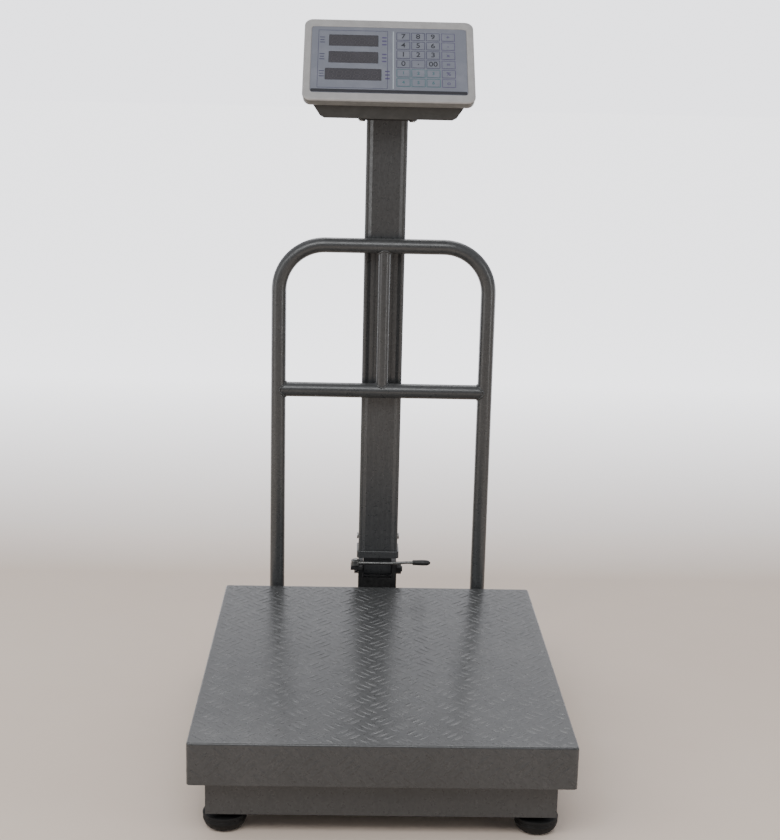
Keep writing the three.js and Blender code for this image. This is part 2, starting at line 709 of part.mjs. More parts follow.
// A wedge of the housing's section between front and rear, widening upwards from a rounded bottom.
function housingWedge(inset, front, rear, out) {
  const both = (x, y, z) => [[-x, y, z], [x, y, z]];
  const points = [];
  for (const [half, up, lean] of HOUSING_CORNER) {
    const height = HOUSING_LOW + inset + up;
    points.push(...both(half - inset, front - lean, height), ...both(half - inset, rear, height));
  }
  points.push(...both(HOUSING_HALF - 2 - inset, rear, HOUSING_SHOULDER - inset));
  points.push(...both(HOUSING_HALF - inset, ...facePoint(8 + inset, out)));
  points.push(...both(HOUSING_HALF - inset, ...facePoint(166 - inset, out)));
  return hull(points);
}

function lowerHousing() {
  const back = -HEAD_THICK - GAP;
  const outer = housingWedge(0, HOUSING_FRONT, HOUSING_REAR, back);
  const inner = housingWedge(3, HOUSING_FRONT + 3.5, HOUSING_REAR - 2.5, back + 1);
  let housing = cut(outer, inner);
  housing = cut(
    housing,
    rod('y', 5.8, [390, 410], [-SWITCH_X, SOCKET_Z], 20),
    block([SWITCH_X - 6.8, SWITCH_X + 6.8], [390, 410], [SOCKET_Z - 9.8, SOCKET_Z + 9.8]),
    rod('z', 8, [890, 910], [0, COLUMN_Y], 16),
  );
  for (const side of [-1, 1]) {
    housing = cut(housing, rod('z', 2.7, [890, 910], [side * HEAD_SCREW_X, COLUMN_Y], SMALL_SIDES));
  }
  add('lower_housing', surface(housing), HOUSING);
}

function windowBlock(pane, slack, limits) {
  const [w, h] = [pane.width / 2 + slack, pane.height / 2 + slack];
  return block([WINDOW_X - w, WINDOW_X + w], [pane.up - h, pane.up + h], limits);
}

// Case front: a tray open at the back with a soft front edge, a recess for the overlay and windows.
function upperCase() {
  const middle = HEAD_LENGTH / 2;
  const edge = 3;
  const shape = roundedShape(HEAD_WIDTH - 2 * edge, HEAD_LENGTH - 2 * edge, 12);
  const options = {
    depth: HEAD_THICK - 2 * edge,
    bevelThickness: edge,
    bevelSize: edge,
    bevelSegments: 2,
    curveSegments: 4,
  };
  const outer = new THREE.ExtrudeGeometry(shape, options);
  outer.translate(0, middle, edge - HEAD_THICK);
  const pocket = roundedShape(HEAD_WIDTH - 8, HEAD_LENGTH - 8, 10);
  const recess = roundedShape(RECESS_WIDTH, RECESS_LENGTH, 5);
  let tray = cut(
    solid(outer),
    raised(pocket, [-HEAD_THICK - 1, -FACE_THICK], 0, middle),
    raised(recess, [-FACE_RECESS, 1], 0, RECESS_MIDDLE),
  );
  for (const pane of WINDOWS) {
    tray = cut(tray, windowBlock(pane, GAP, [-10, 1]));
  }
  add('upper_case', tilted(tray), CASE);
}

function faceOverlay() {
  const shape = roundedShape(RECESS_WIDTH - 2 * GAP, RECESS_LENGTH - 2 * GAP, 5);
  let sheet = raised(shape, [GAP - FACE_RECESS, -0.4], 0, RECESS_MIDDLE);
  for (const pane of WINDOWS) {
    sheet = cut(sheet, windowBlock(pane, GAP, [-10, 1]));
  }
  add('face_overlay', tilted(sheet), OVERLAY);
}

function displayWindows() {
  WINDOWS.forEach((pane, i) => {
    add(`display_window_${i + 1}`, tilted(windowBlock(pane, 0, [-3.6, -0.8])), WINDOW);
  });
}

// Circuit board on four pillars, with a block of digits behind each window.
function displayBoard() {
  const [low, high] = [-9, -7.4];
  let board = bar(114, [16, 154], [low, high]);
  for (const pane of WINDOWS) {
    board = join(board, windowBlock(pane, -2, [high - 0.5, -FACE_THICK - GAP]));
  }
  for (const [x, y] of fourCorners(104, 60)) {
    board = join(board, rod('z', 3, [high - 0.5, -FACE_THICK - GAP], [x, 85 + y], 16));
  }
  add('display_board', tilted(board), BOARD);
}

function battery() {
  const low = HOUSING_LOW + 3 + GAP;
  const box = bar(50, [347, 394], [low, low + 68]);
  const notch = rod('z', 7, [low - 1, low + 10], [0, COLUMN_Y], 16);
  const screws = [-HEAD_SCREW_X, HEAD_SCREW_X].map(
    (x) => rod('z', 3.2, [low - 1, low + 8], [x, COLUMN_Y], SMALL_SIDES),
  );
  add('battery', surface(cut(box, notch, ...screws)), BATTERY);
}

function powerJack() {
  const profile = [[0, -16], [5.5, -16], [5.5, 0], [8, 0], [8, 2.6], [7, 3.7], [2.2, 3.7], [2.2, -10], [0, -10]];
  const points = profile.map(([radius, along]) => new THREE.Vector2(radius, along));
  const jack = new THREE.LatheGeometry(points, 20);
  jack.translate(-SWITCH_X, HOUSING_REAR + GAP, SOCKET_Z);
  add('power_jack', surface(solid(jack)), BLACK);
}

function powerSwitch() {
  const wall = HOUSING_REAR + GAP;
  const part = (w, h, limits) => block([SWITCH_X - w, SWITCH_X + w], limits, [SOCKET_Z - h, SOCKET_Z + h]);
  const bezel = cut(
    join(part(8, 11, [wall, wall + 1.8]), part(6.5, 9.5, [wall - 14, wall + 1])),
    part(5, 8, [wall - 12, wall + 3]),
  );
  add('switch_bezel', surface(bezel), BLACK);

  const shape = new THREE.Shape();
  const outline = [[-4, -3], [-4, 3], [-1, 7.2], [2.2, 7.4], [1.1, 0], [2.2, -7.4], [-1, -7.2]];
  outline.forEach(([out, up], i) => {
    if (i === 0) {
      shape.moveTo(out, up);
    } else {
      shape.lineTo(out, up);
    }
  });
  const rocker = new THREE.ExtrudeGeometry(shape, { depth: 9.4, bevelEnabled: false });
  rocker.rotateX(Math.PI / 2);
  rocker.rotateZ(Math.PI / 2);
  rocker.center();
  rocker.rotateX(-8 * Math.PI / 180);
  rocker.translate(SWITCH_X, HOUSING_REAR - 0.9, SOCKET_Z);
  add('switch_rocker', surface(solid(rocker)), BLACK);
}

baseFrame();
loadCell();
spacers();
cellBolts();
spiderFrame();
spiderBuffers();
overloadStops();
loadCellCable();
platformPan();
feet();
loadGuard();
guardBrackets();
mastBracket();
bracketBolts();
hingeBolt();
clampLever();
columnFoot();
columnTube();
columnScrews();
mastCable();
headPlate();
lowerHousing();
upperCase();
faceOverlay();
displayWindows();
displayBoard();
battery();
powerJack();
powerSwitch();

export default scale;
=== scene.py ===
"""Platform shipping scale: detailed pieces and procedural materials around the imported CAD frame.

Shapes are drawn in millimetres in the frame's own axes, +X right, +Y to the rear, +Z up, and
turned into metres when a mesh is made. Positions are read from the CAD nodes' boxes.
"""
import math

import bmesh
import bpy
from mathutils import Matrix, Vector


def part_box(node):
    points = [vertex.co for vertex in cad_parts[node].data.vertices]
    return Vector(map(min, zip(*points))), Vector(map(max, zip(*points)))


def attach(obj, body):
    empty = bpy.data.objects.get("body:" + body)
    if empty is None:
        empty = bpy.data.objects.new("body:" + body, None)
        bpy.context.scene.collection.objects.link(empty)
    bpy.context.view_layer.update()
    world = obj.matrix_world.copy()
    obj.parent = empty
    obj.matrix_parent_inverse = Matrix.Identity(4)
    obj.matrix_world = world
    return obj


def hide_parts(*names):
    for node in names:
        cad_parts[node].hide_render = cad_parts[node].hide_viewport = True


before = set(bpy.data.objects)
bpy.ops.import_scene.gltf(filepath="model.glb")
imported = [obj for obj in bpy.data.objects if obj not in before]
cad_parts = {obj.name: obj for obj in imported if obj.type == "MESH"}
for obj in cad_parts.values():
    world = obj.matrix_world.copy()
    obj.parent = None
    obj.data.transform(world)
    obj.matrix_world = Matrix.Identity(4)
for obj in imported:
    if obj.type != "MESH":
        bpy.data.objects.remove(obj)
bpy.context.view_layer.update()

MM = 0.001
QUARTER = math.pi / 2

# ---- Camera, floor and surroundings, in metres and radians -----------------------------------

CAMERA_AT = (-0.0477, -2.0977, 0.9674)
CAMERA_YAW = -0.026
CAMERA_PITCH = 0.233
CAMERA_ROLL = 0.024
LENS_MM = 63.977
SENSOR_MM = 36.0
LENS_SHIFT = (0.00083, 0.00833)
FLOOR_REACH = 40.0
WORLD_COLOUR = (0.86, 0.86, 0.90)
WORLD_FADE = (-0.7, 0.6)
WORLD_STRENGTH = (0.34, 1.0)
BACKDROP_STRENGTH = 1.9

# Name, place, aim, size and power in watts of each studio light.
LIGHTS = [
    ("key", (-1.9, -2.0, 2.6), (0, 0, 0.4), (1.6, 1.6), 20),
    ("front", (-0.4, -2.3, 3.0), (0, 0.1, 0.6), (2.4, 1.5), 46),
    ("right", (2.0, -1.25, 0.9), (0, 0.3, 0.6), (0.55, 1.8), 10),
    ("left", (-2.1, -0.85, 0.9), (0, 0.3, 0.6), (1.1, 1.8), 9),
    ("rear", (0.2, 2.5, 3.1), (0, 0.2, 0.5), (2.4, 1.0), 26),
]

# ---- Sizes the pieces share, in millimetres --------------------------------------------------

SHEET = 2.0
PAN_BEND = 3.2
PAN_CORNER = 5.0
PAN_EDGE = 0.4
TREAD_CELL = 31.5
TREAD_LENGTH = 26.0
TREAD_WIDTH = 6.4
TREAD_HEIGHT = 0.5
TREAD_MARGIN = 5.0
THREAD_PITCH = 1.75
THREAD_DEPTH = 0.9
GUARD_BEND = 73.0
CENTRE_BAR_RADIUS = 10.0
PIPE_SIDES = 32
BEAD_POINTS = 72
BEAD_SIDES = 10
BEAD_RADIUS = 1.5
COLUMN_RIDGE = 11.0
COLUMN_RECESS = 3.0
COLUMN_ROUND = 4.4
COLUMN_CORNER = 3.0
COLUMN_RIBS = 5
COLUMN_WALL = 2.2
LEVER_RISE = 2.0
LEVER_BEND = (20.0, 48.0)
CAM_BORE = 2.6
GRIP_BORE = 2.5

# The indicator is drawn on its face: X across it, Y up it and Z out of it.
HEAD_TILT = math.pi / 4
HEAD_THICK = 16.0
HEAD_HALF_WIDTH = 132.0
HEAD_HALF_LENGTH = 86.0
HEAD_CORNER = 13.5
RIM_DEPTH = 3.6
RIM_ROUND = 2.8
RECESS_HALF_WIDTH = 120.5
RECESS_HALF_LENGTH = 70.0
RECESS_MIDDLE = 85.5
RECESS_CORNER = 5.0
RECESS_DEPTH = 1.5
FILM_GAP = 0.3
WINDOW_X = -55.0
WINDOWS = [(76.0, 24.0, 126.0), (76.0, 24.0, 90.0), (86.0, 24.0, 54.0)]
WINDOW_DIGITS = [5, 5, 6]
CAPTION_X = -103.5
DIVIDER_X = 6.5
PANEL_MIDDLE_X = -56.0
PANEL_HALF_WIDTH = 53.5
PANEL_LOW = RECESS_MIDDLE - 60.0
PANEL_HIGH = RECESS_MIDDLE + 62.0
KEY_COLUMNS = [22.0, 45.0, 68.0, 91.5]
KEY_ROWS = [137.0, 117.4, 97.8, 78.2, 58.6, 39.0]
KEY_HALF = (9.3, 7.2)
KEY_LINE = 0.42
KEY_LINE_GAP = 0.9
DIGIT_SIZE = 14.0
SIGN_SIZE = 10.5
SMALL_DIGIT_SIZE = 8.5
POINT_RISE = 3.0
FIGURE_RELIEF = 0.09
FIGURE_WEIGHT = 0.12
FIGURE_LEVEL = -0.12

# Back and front of each thin layer, measured out of the face.
FILM_LAYER = (-1.4, -0.55)
SHADOW_BAND_LAYER = (-0.7, -0.48)
PRINT_LAYER = (-0.62, -0.43)
DOME_LAYER = (-0.7, -0.18)
PANE_LAYER = (-3.4, -0.85)
SEGMENT_LAYER = (-0.95, -0.8)


def rgba(colour):
    """A colour with its alpha, from three values or from one grey value."""
    if isinstance(colour, (int, float)):
        return (colour, colour, colour, 1)
    return (*colour, 1)


def low_high(node):
    """The lowest and highest corners of a CAD node, in millimetres."""
    low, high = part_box(node)
    return low / MM, high / MM


# ---- Camera and light ------------------------------------------------------------------------


def make_camera():
    """The camera, turned by its yaw, then tipped down by its pitch, then rolled."""
    level = Vector((-math.sin(CAMERA_YAW), math.cos(CAMERA_YAW), 0))
    side = Vector((math.cos(CAMERA_YAW), math.sin(CAMERA_YAW), 0))
    up = Vector((0, 0, 1))
    forward = level * math.cos(CAMERA_PITCH) - up * math.sin(CAMERA_PITCH)
    lifted = up * math.cos(CAMERA_PITCH) + level * math.sin(CAMERA_PITCH)
    right = side * math.cos(CAMERA_ROLL) + lifted * math.sin(CAMERA_ROLL)
    top = lifted * math.cos(CAMERA_ROLL) - side * math.sin(CAMERA_ROLL)
    lens = bpy.data.cameras.new("camera")
    lens.sensor_width = SENSOR_MM
    lens.lens = LENS_MM
    lens.shift_x, lens.shift_y = LENS_SHIFT
    camera = bpy.data.objects.new("camera", lens)
    bpy.context.collection.objects.link(camera)
    pose = Matrix((right, top, -forward)).transposed().to_4x4()
    pose.translation = CAMERA_AT
    camera.matrix_world = pose
    bpy.context.scene.camera = camera


def make_world():
    """Soft surroundings: dim on the camera's side, bright behind, brighter still where seen."""
    world = bpy.data.worlds.new("studio")
    world.use_nodes = True
    bpy.context.scene.world = world
    tree = world.node_tree
    place = tree.nodes.new("ShaderNodeTexCoord")
    split = tree.nodes.new("ShaderNodeSeparateXYZ")
    tree.links.new(place.outputs["Generated"], split.inputs[0])
    fade = tree.nodes.new("ShaderNodeMapRange")
    fade.inputs["From Min"].default_value, fade.inputs["From Max"].default_value = WORLD_FADE
    fade.inputs["To Min"].default_value, fade.inputs["To Max"].default_value = WORLD_STRENGTH
    tree.links.new(split.outputs["Y"], fade.inputs["Value"])
    path = tree.nodes.new("ShaderNodeLightPath")
    backdrop = tree.nodes.new("ShaderNodeMath")
    backdrop.operation = "MULTIPLY_ADD"
    backdrop.inputs[1].default_value = BACKDROP_STRENGTH
    tree.links.new(path.outputs["Is Camera Ray"], backdrop.inputs[0])
    tree.links.new(fade.outputs[0], backdrop.inputs[2])
    background = tree.nodes["Background"]
    background.inputs["Color"].default_value = rgba(WORLD_COLOUR)
    tree.links.new(backdrop.outputs[0], background.inputs["Strength"])


def soft_light(name, at, aim, size, power):
    """A rectangular lamp that lights the object but isn't seen itself."""
    lamp = bpy.data.lights.new(name, "AREA")
    lamp.shape = "RECTANGLE"
    lamp.size, lamp.size_y = size
    lamp.energy = power
    placed = bpy.data.objects.new(name, lamp)
    bpy.context.collection.objects.link(placed)
    placed.location = at
    placed.rotation_euler = (Vector(aim) - Vector(at)).to_track_quat("-Z", "Y").to_euler()
    placed.visible_camera = False


# ---- Material building ----------------------------------------------------------------------


class Shader:
    """A principled material with helpers that chain procedural nodes onto it."""

    def __init__(self, name, **constants):
        self.material = bpy.data.materials.new(name)
        self.material.use_nodes = True
        self.tree = self.material.node_tree
        self.surface = self.tree.nodes["Principled BSDF"]
        for socket, value in constants.items():
            self.surface.inputs[socket.replace("_", " ")].default_value = value
        place = self.tree.nodes.new("ShaderNodeTexCoord")
        self.here = place.outputs["Object"]

    def node(self, kind, **inputs):
        """A node with its inputs set to values or linked to other nodes' outputs."""
        made = self.tree.nodes.new(kind)
        for socket, value in inputs.items():
            target = made.inputs[socket.replace("_", " ")]
            if isinstance(value, bpy.types.NodeSocket):
                self.tree.links.new(value, target)
            else:
                target.default_value = value
        return made

    def stretched(self, x, y, z):
        """Object coordinates scaled by different amounts along each axis."""
        return self.node("ShaderNodeMapping", Vector=self.here, Scale=(x, y, z)).outputs[0]

    def noise(self, scale, detail, where=None, roughness=0.55):
        """Cloudy noise from 0 to 1, with a scale in cycles to the metre."""
        made = self.node(
            "ShaderNodeTexNoise",
            Vector=where or self.here,
            Scale=scale,
            Detail=detail,
            Roughness=roughness,
        )
        return made.outputs[0]

    def cells(self, scale, smooth):
        """Distance to the middle of the nearest of many small rounded cells."""
        made = self.node("ShaderNodeTexVoronoi", Vector=self.here, Scale=scale)
        made.feature = "SMOOTH_F1"
        made.inputs["Smoothness"].default_value = smooth
        return made.outputs["Distance"]

    def spread(self, value, low, high, source=(0.3, 0.7)):
        """Maps a factor's range onto another range."""
        made = self.node(
            "ShaderNodeMapRange",
            Value=value,
            From_Min=source[0],
            From_Max=source[1],
            To_Min=low,
            To_Max=high,
        )
        return made.outputs[0]

    def ramp(self, factor, *stops):
        """A colour ramp between two stops of (position, colour)."""
        made = self.node("ShaderNodeValToRGB", Fac=factor)
        for element, (position, colour) in zip(made.color_ramp.elements, stops):
            element.position = position
            element.color = rgba(colour)
        return made.outputs[0]

    def mix(self, factor, first, second):
        """Mixes two colours; each input is a value or another node's output."""
        made = self.tree.nodes.new("ShaderNodeMix")
        made.data_type = "RGBA"
        for index, value in ((0, factor), (6, first), (7, second)):
            if isinstance(value, bpy.types.NodeSocket):
                self.tree.links.new(value, made.inputs[index])
            else:
                made.inputs[index].default_value = value if index == 0 else rgba(value)
        return made.outputs[2]

    def colour(self, output):
        self.tree.links.new(output, self.surface.inputs["Base Color"])

    def gloss(self, output):
        self.tree.links.new(output, self.surface.inputs["Roughness"])

    def bump(self, height, strength, depth, below=None):
        """Adds a bump of a depth in metres, on top of an earlier one."""
        made = self.node("ShaderNodeBump", Height=height, Strength=strength, Distance=depth)
        if below is not None:
            self.tree.links.new(below, made.inputs["Normal"])
        self.tree.links.new(made.outputs[0], self.surface.inputs["Normal"])
        return made.outputs[0]


def hammer_enamel(name, dark, light, dust):
    """Grey hammer-finish enamel: dimpled and mottled, glossy, dusty on the faces that look up."""
    shader = Shader(name, Metallic=0.35, Coat_Weight=0.25, Coat_Roughness=0.2)
    mottle = shader.noise(300, 2)
    drift = shader.noise(9, 3)
    base = shader.ramp(mottle, (0.25, dark), (0.75, light))
    base = shader.mix(shader.spread(drift, 0.0, 0.35), base, [value * 0.72 for value in dark])
    scuffs = shader.noise(60, 6, shader.stretched(1, 0.16, 1), 0.7)
    worn = shader.spread(scuffs, 0.0, 0.35, (0.62, 0.74))
    base = shader.mix(worn, base, [value * 1.7 for value in light])
    normal = shader.node("ShaderNodeNewGeometry").outputs["Normal"]
    upward = shader.node("ShaderNodeSeparateXYZ", Vector=normal).outputs["Z"]
    settled = shader.node("ShaderNodeMath", Value=shader.spread(upward, 0.0, dust, (0.6, 1.0)))
    settled.operation = "MULTIPLY"
    shader.tree.links.new(shader.spread(shader.noise(26, 5), 0.45, 1.0), settled.inputs[1])
    shader.colour(shader.mix(settled.outputs[0], base, (0.34, 0.33, 0.31)))
    shader.gloss(shader.spread(shader.noise(130, 3), 0.24, 0.4))
    ripple = shader.bump(shader.noise(190, 1), 0.16, 0.0004)
    shader.bump(shader.noise(700, 1), 0.06, 0.0002, ripple)
    return shader.material


def satin_black():
    """Satin black paint on steel, with a very fine orange peel."""
    shader = Shader("satin_black_paint", Metallic=0.2)
    shader.colour(shader.ramp(shader.noise(160, 4), (0.3, 0.012), (0.7, 0.035)))
    shader.gloss(shader.spread(shader.noise(90, 3), 0.32, 0.5))
    shader.bump(shader.noise(1400, 2), 0.3, 0.0002)
    return shader.material


def plated_steel(name, dark, light, stain):
    """Plated steel with a fine spangle and patches of dull stain."""
    shader = Shader(name, Metallic=0.95)
    base = shader.ramp(shader.cells(500, 0.2), (0.1, dark), (0.8, light))
    patches = shader.spread(shader.noise(140, 5), 0.0, 0.5, (0.5, 0.75))
    shader.colour(shader.mix(patches, base, stain))
    shader.gloss(shader.spread(shader.noise(320, 3), 0.26, 0.44))
    shader.bump(shader.noise(900, 3, shader.stretched(0.15, 1, 1)), 0.3, 0.0002)
    return shader.material


def machined_alloy():
    """Milled aluminium with tool lines along Y."""
    shader = Shader("machined_alloy", Metallic=0.9)
    lines = shader.noise(160, 4, shader.stretched(1, 0.05, 1))
    shader.colour(shader.ramp(lines, (0.3, (0.46, 0.47, 0.48)), (0.7, (0.64, 0.65, 0.66))))
    shader.gloss(shader.spread(lines, 0.3, 0.45))
    shader.bump(lines, 0.3, 0.0002)
    return shader.material


def moulded(name, dark, light, grain, rough, sheen=0.5):
    """Moulded plastic or rubber: a fine pebble grain, slight mottling and uneven sheen."""
    shader = Shader(name, Specular_IOR_Level=sheen)
    shader.colour(shader.ramp(shader.noise(70, 5), (0.28, dark), (0.72, light)))
    shader.gloss(shader.spread(shader.noise(220, 3), rough - 0.06, rough + 0.08))
    pebble = shader.bump(shader.cells(grain, 0.4), 0.35, 0.0002)
    shader.bump(shader.noise(grain * 0.5, 2), 0.2, 0.0002, pebble)
    return shader.material


def overlay_film():
    """Printed polyester film: an even blue grey with a faint print screen and soft orange peel."""
    shader = Shader("overlay_film", Coat_Weight=0.15, Coat_Roughness=0.35)
    screen = shader.noise(1800, 2)
    base = shader.ramp(screen, (0.3, (0.160, 0.172, 0.208)), (0.7, (0.188, 0.200, 0.238)))
    wear = shader.spread(shader.noise(38, 5), 0.0, 0.4, (0.5, 0.8))
    shader.colour(shader.mix(wear, base, (0.28, 0.29, 0.33)))
    shader.gloss(shader.spread(shader.noise(120, 3), 0.34, 0.5))
    shader.bump(shader.noise(500, 2), 0.2, 0.0002)
    return shader.material


def smoked_filter():
    """Dark glossy window plastic with a slight ripple."""
    shader = Shader("smoked_filter", Coat_Weight=0.4, Coat_Roughness=0.08)
    dark, light = (0.034, 0.032, 0.038), (0.048, 0.045, 0.053)
    shader.colour(shader.ramp(shader.noise(50, 4), (0.3, dark), (0.7, light)))
    shader.gloss(shader.spread(shader.noise(160, 4), 0.14, 0.26))
    shader.bump(shader.noise(240, 2), 0.1, 0.0001)
    return shader.material


def ink(name, dark, light, rough=0.45):
    """Screen-printed ink with a slightly uneven coat."""
    shader = Shader(name)
    shader.colour(shader.ramp(shader.noise(900, 3), (0.3, dark), (0.7, light)))
    shader.gloss(shader.spread(shader.noise(500, 2), rough - 0.05, rough + 0.1))
    shader.bump(shader.noise(2500, 2), 0.2, 0.0001)
    return shader.material


def floor_paint():
    """A warm pale floor that fades into the bright backdrop behind the object."""
    shader = Shader("studio_floor", Emission_Strength=1.0)
    depth = shader.node("ShaderNodeSeparateXYZ", Vector=shader.here).outputs["Y"]
    away = shader.spread(depth, 0.0, 1.0, (0.7, 2.6))
    near = shader.ramp(shader.noise(1.3, 4), (0.25, (0.74, 0.62, 0.52)), (0.75, (0.80, 0.68, 0.575)))
    shader.colour(shader.mix(away, near, (0.82, 0.82, 0.84)))
    glow = shader.mix(away, 0.0, (2.05, 2.05, 2.12))
    shader.tree.links.new(glow, shader.surface.inputs["Emission Color"])
    shader.gloss(shader.spread(shader.noise(14, 3), 0.6, 0.75))
    return shader.material


ENAMEL = hammer_enamel("hammer_enamel", (0.057, 0.0595, 0.061), (0.083, 0.0865, 0.089), 0.12)
BLACK_STEEL = satin_black()
ZINC = plated_steel("zinc_plate", (0.36, 0.37, 0.37), (0.56, 0.56, 0.54), (0.22, 0.19, 0.15))
LEVER_STEEL = plated_steel("lever_steel", (0.13, 0.135, 0.13), (0.24, 0.245, 0.24), (0.08, 0.07, 0.06))
ALLOY = machined_alloy()
RUBBER = moulded("foot_rubber", 0.004, 0.010, 900, 0.6, 0.3)
SHEATH = moulded("cable_sheath", 0.012, 0.022, 1400, 0.5)
CASE = moulded("case_plastic", (0.34, 0.335, 0.33), (0.40, 0.395, 0.39), 1300, 0.4)
HOUSING = moulded("housing_plastic", (0.040, 0.041, 0.040), (0.058, 0.059, 0.057), 1300, 0.45, 0.35)
# Painted shade: the case's lower wall is coloured dark grey for the shade under its rim.
SHADE_PAINTED_SHELL = moulded("shell_plastic_painted_shade", (0.145, 0.147, 0.142), (0.185, 0.187, 0.18), 1300, 0.42, 0.35)
BLACK_PLASTIC = moulded("black_plastic", 0.012, 0.024, 1500, 0.38)
BATTERY = moulded("battery_shell", (0.015, 0.017, 0.02), (0.03, 0.033, 0.038), 1200, 0.5)
BOARD = ink("solder_mask", (0.012, 0.10, 0.035), (0.02, 0.14, 0.05), 0.35)
FILM = overlay_film()
FILTER = smoked_filter()
INK_NAVY = ink("ink_navy", (0.045, 0.045, 0.095), (0.06, 0.06, 0.12))
# Dark ink for the key digits; also the painted shadow of the band along the film's lower edge.
DARK_INK_AND_PAINTED_SHADOW = ink("ink_dark_and_painted_shadow", (0.014, 0.015, 0.02), (0.026, 0.027, 0.034))
INK_TEAL = ink("ink_teal", (0.035, 0.125, 0.145), (0.05, 0.155, 0.175))
INK_VIOLET = ink("ink_violet", (0.075, 0.065, 0.145), (0.095, 0.082, 0.175))
INK_PALE = ink("ink_pale", (0.36, 0.41, 0.45), (0.42, 0.47, 0.51))
UNLIT = ink("unlit_segments", (0.046, 0.043, 0.049), (0.056, 0.052, 0.059), 0.3)


# ---- Mesh building --------------------------------------------------------------------------


def piece(name, mesh, material, body, slot, *nodes, crease=35):
    """Makes a piece of a mesh drawn in millimetres, on a body, standing for CAD nodes."""
    mesh.transform(Matrix.Scale(MM, 4))
    mesh.shade_smooth()
    mesh.set_sharp_from_angle(angle=math.radians(crease))
    mesh.materials.append(material)
    made = bpy.data.objects.new(name, mesh)
    bpy.context.collection.objects.link(made)
    if nodes:
        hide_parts(*nodes)
    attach(made, body)
    return made


class Skin:
    """Collects points and faces for one mesh."""

    def __init__(self):
        self.points = []
        self.faces = []

    def join(self, rings, loop=False):
        """Joins equal rings of points into a closed skin, with end caps unless it loops."""
        start, size = len(self.points), len(rings[0])
        for ring in rings:
            self.points.extend(ring)
        spans = len(rings) if loop else len(rings) - 1
        for i in range(spans):
            a, b = start + i * size, start + (i + 1) % len(rings) * size
            for k in range(size):
                n = (k + 1) % size
                self.faces.append((a + k, a + n, b + n, b + k))
        if not loop:
            self.faces.append(tuple(start + k for k in reversed(range(size))))
            self.faces.append(tuple(start + (len(rings) - 1) * size + k for k in range(size)))

    def mesh(self, name):
        made = bpy.data.meshes.new(name)
        made.from_pydata([tuple(p) for p in self.points], [], self.faces)
        shape = bmesh.new()
        shape.from_mesh(made)
        bmesh.ops.recalc_face_normals(shape, faces=shape.faces)
        shape.to_mesh(made)
        shape.free()
        made.update()
        return made


def soften(made, width, segments=2):
    """Rounds the sharp edges of an object by a width in millimetres."""
    bevel = made.modifiers.new("soft_edges", "BEVEL")
    bevel.width = width * MM
    bevel.segments = segments
    bevel.limit_method = "ANGLE"
    bevel.angle_limit = math.radians(30)
    bevel.harden_normals = True


def circle(centre, across, along, radius, sides):
    """Points round a circle in the plane of two directions."""
    return [
        centre
        + across * (radius * math.cos(2 * math.pi * k / sides))
        + along * (radius * math.sin(2 * math.pi * k / sides))
        for k in range(sides)
    ]


def turned(centre, axis, profile, sides=48, bored=False):
    """Rings of a turned shape about an axis; the profile lists (radius, distance along it)."""
    axis = Vector(axis).normalized()
    across = axis.orthogonal().normalized()
    along = axis.cross(across)
    rings = [circle(Vector(centre) + axis * up, across, along, radius, sides) for radius, up in profile]
    skin = Skin()
    skin.join(rings, loop=bored)
    return skin


def tube_rings(path, radii, sides):
    """Rings along a path, each square to it; radii is one number or one for each point."""
    if isinstance(radii, (int, float)):
        radii = [radii] * len(path)
    path = [Vector(p) for p in path]
    rings = []
    across = None
    for i, point in enumerate(path):
        heading = path[min(i + 1, len(path) - 1)] - path[max(i - 1, 0)]
        heading.normalize()
        if across is None:
            across = heading.orthogonal().normalized()
        across = (across - heading * across.dot(heading)).normalized()
        rings.append(circle(point, across, heading.cross(across), radii[i], sides))
    return rings


def looped_tube(path, radii, sides):
    """Rings along a closed path, with a radius for each point."""
    path = [Vector(p) for p in path]
    middle = sum(path, Vector()) / len(path)
    rings = []
    for i, point in enumerate(path):
        heading = (path[(i + 1) % len(path)] - path[i - 1]).normalized()
        outward = point - middle
        outward = (outward - heading * outward.dot(heading)).normalized()
        rings.append(circle(point, outward, heading.cross(outward), radii[i], sides))
    return rings


def rounded_outline(half_width, half_length, radius, steps, middle):
    """Points round a rectangle with rounded corners."""
    points = []
    for corner in range(4):
        x = middle[0] + (half_width - radius) * (1 if corner in (0, 3) else -1)
        y = middle[1] + (half_length - radius) * (1 if corner in (0, 1) else -1)
        for step in range(steps + 1):
            turn = (corner + step / steps) * QUARTER
            points.append((x + radius * math.cos(turn), y + radius * math.sin(turn)))
    return points


def plate(name, outlines, low, high):
    """A flat plate between two heights, from an outer outline and any holes in it."""
    shape = bmesh.new()
    edges = []
    for outline in outlines:
        corners = [shape.verts.new((x, y, low)) for x, y in outline]
        edges.extend(shape.edges.new((corners[i - 1], corners[i])) for i in range(len(corners)))
    bmesh.ops.triangle_fill(shape, use_beauty=True, edges=edges)
    bottom = list(shape.faces)
    grown = bmesh.ops.extrude_face_region(shape, geom=bottom, use_keep_orig=True)
    risen = [item for item in grown["geom"] if isinstance(item, bmesh.types.BMVert)]
    bmesh.ops.translate(shape, verts=risen, vec=(0, 0, high - low))
    bmesh.ops.recalc_face_normals(shape, faces=shape.faces)
    mesh = bpy.data.meshes.new(name)
    shape.to_mesh(mesh)
    shape.free()
    return mesh


# ---- CAD nodes that stay ---------------------------------------------------------------------

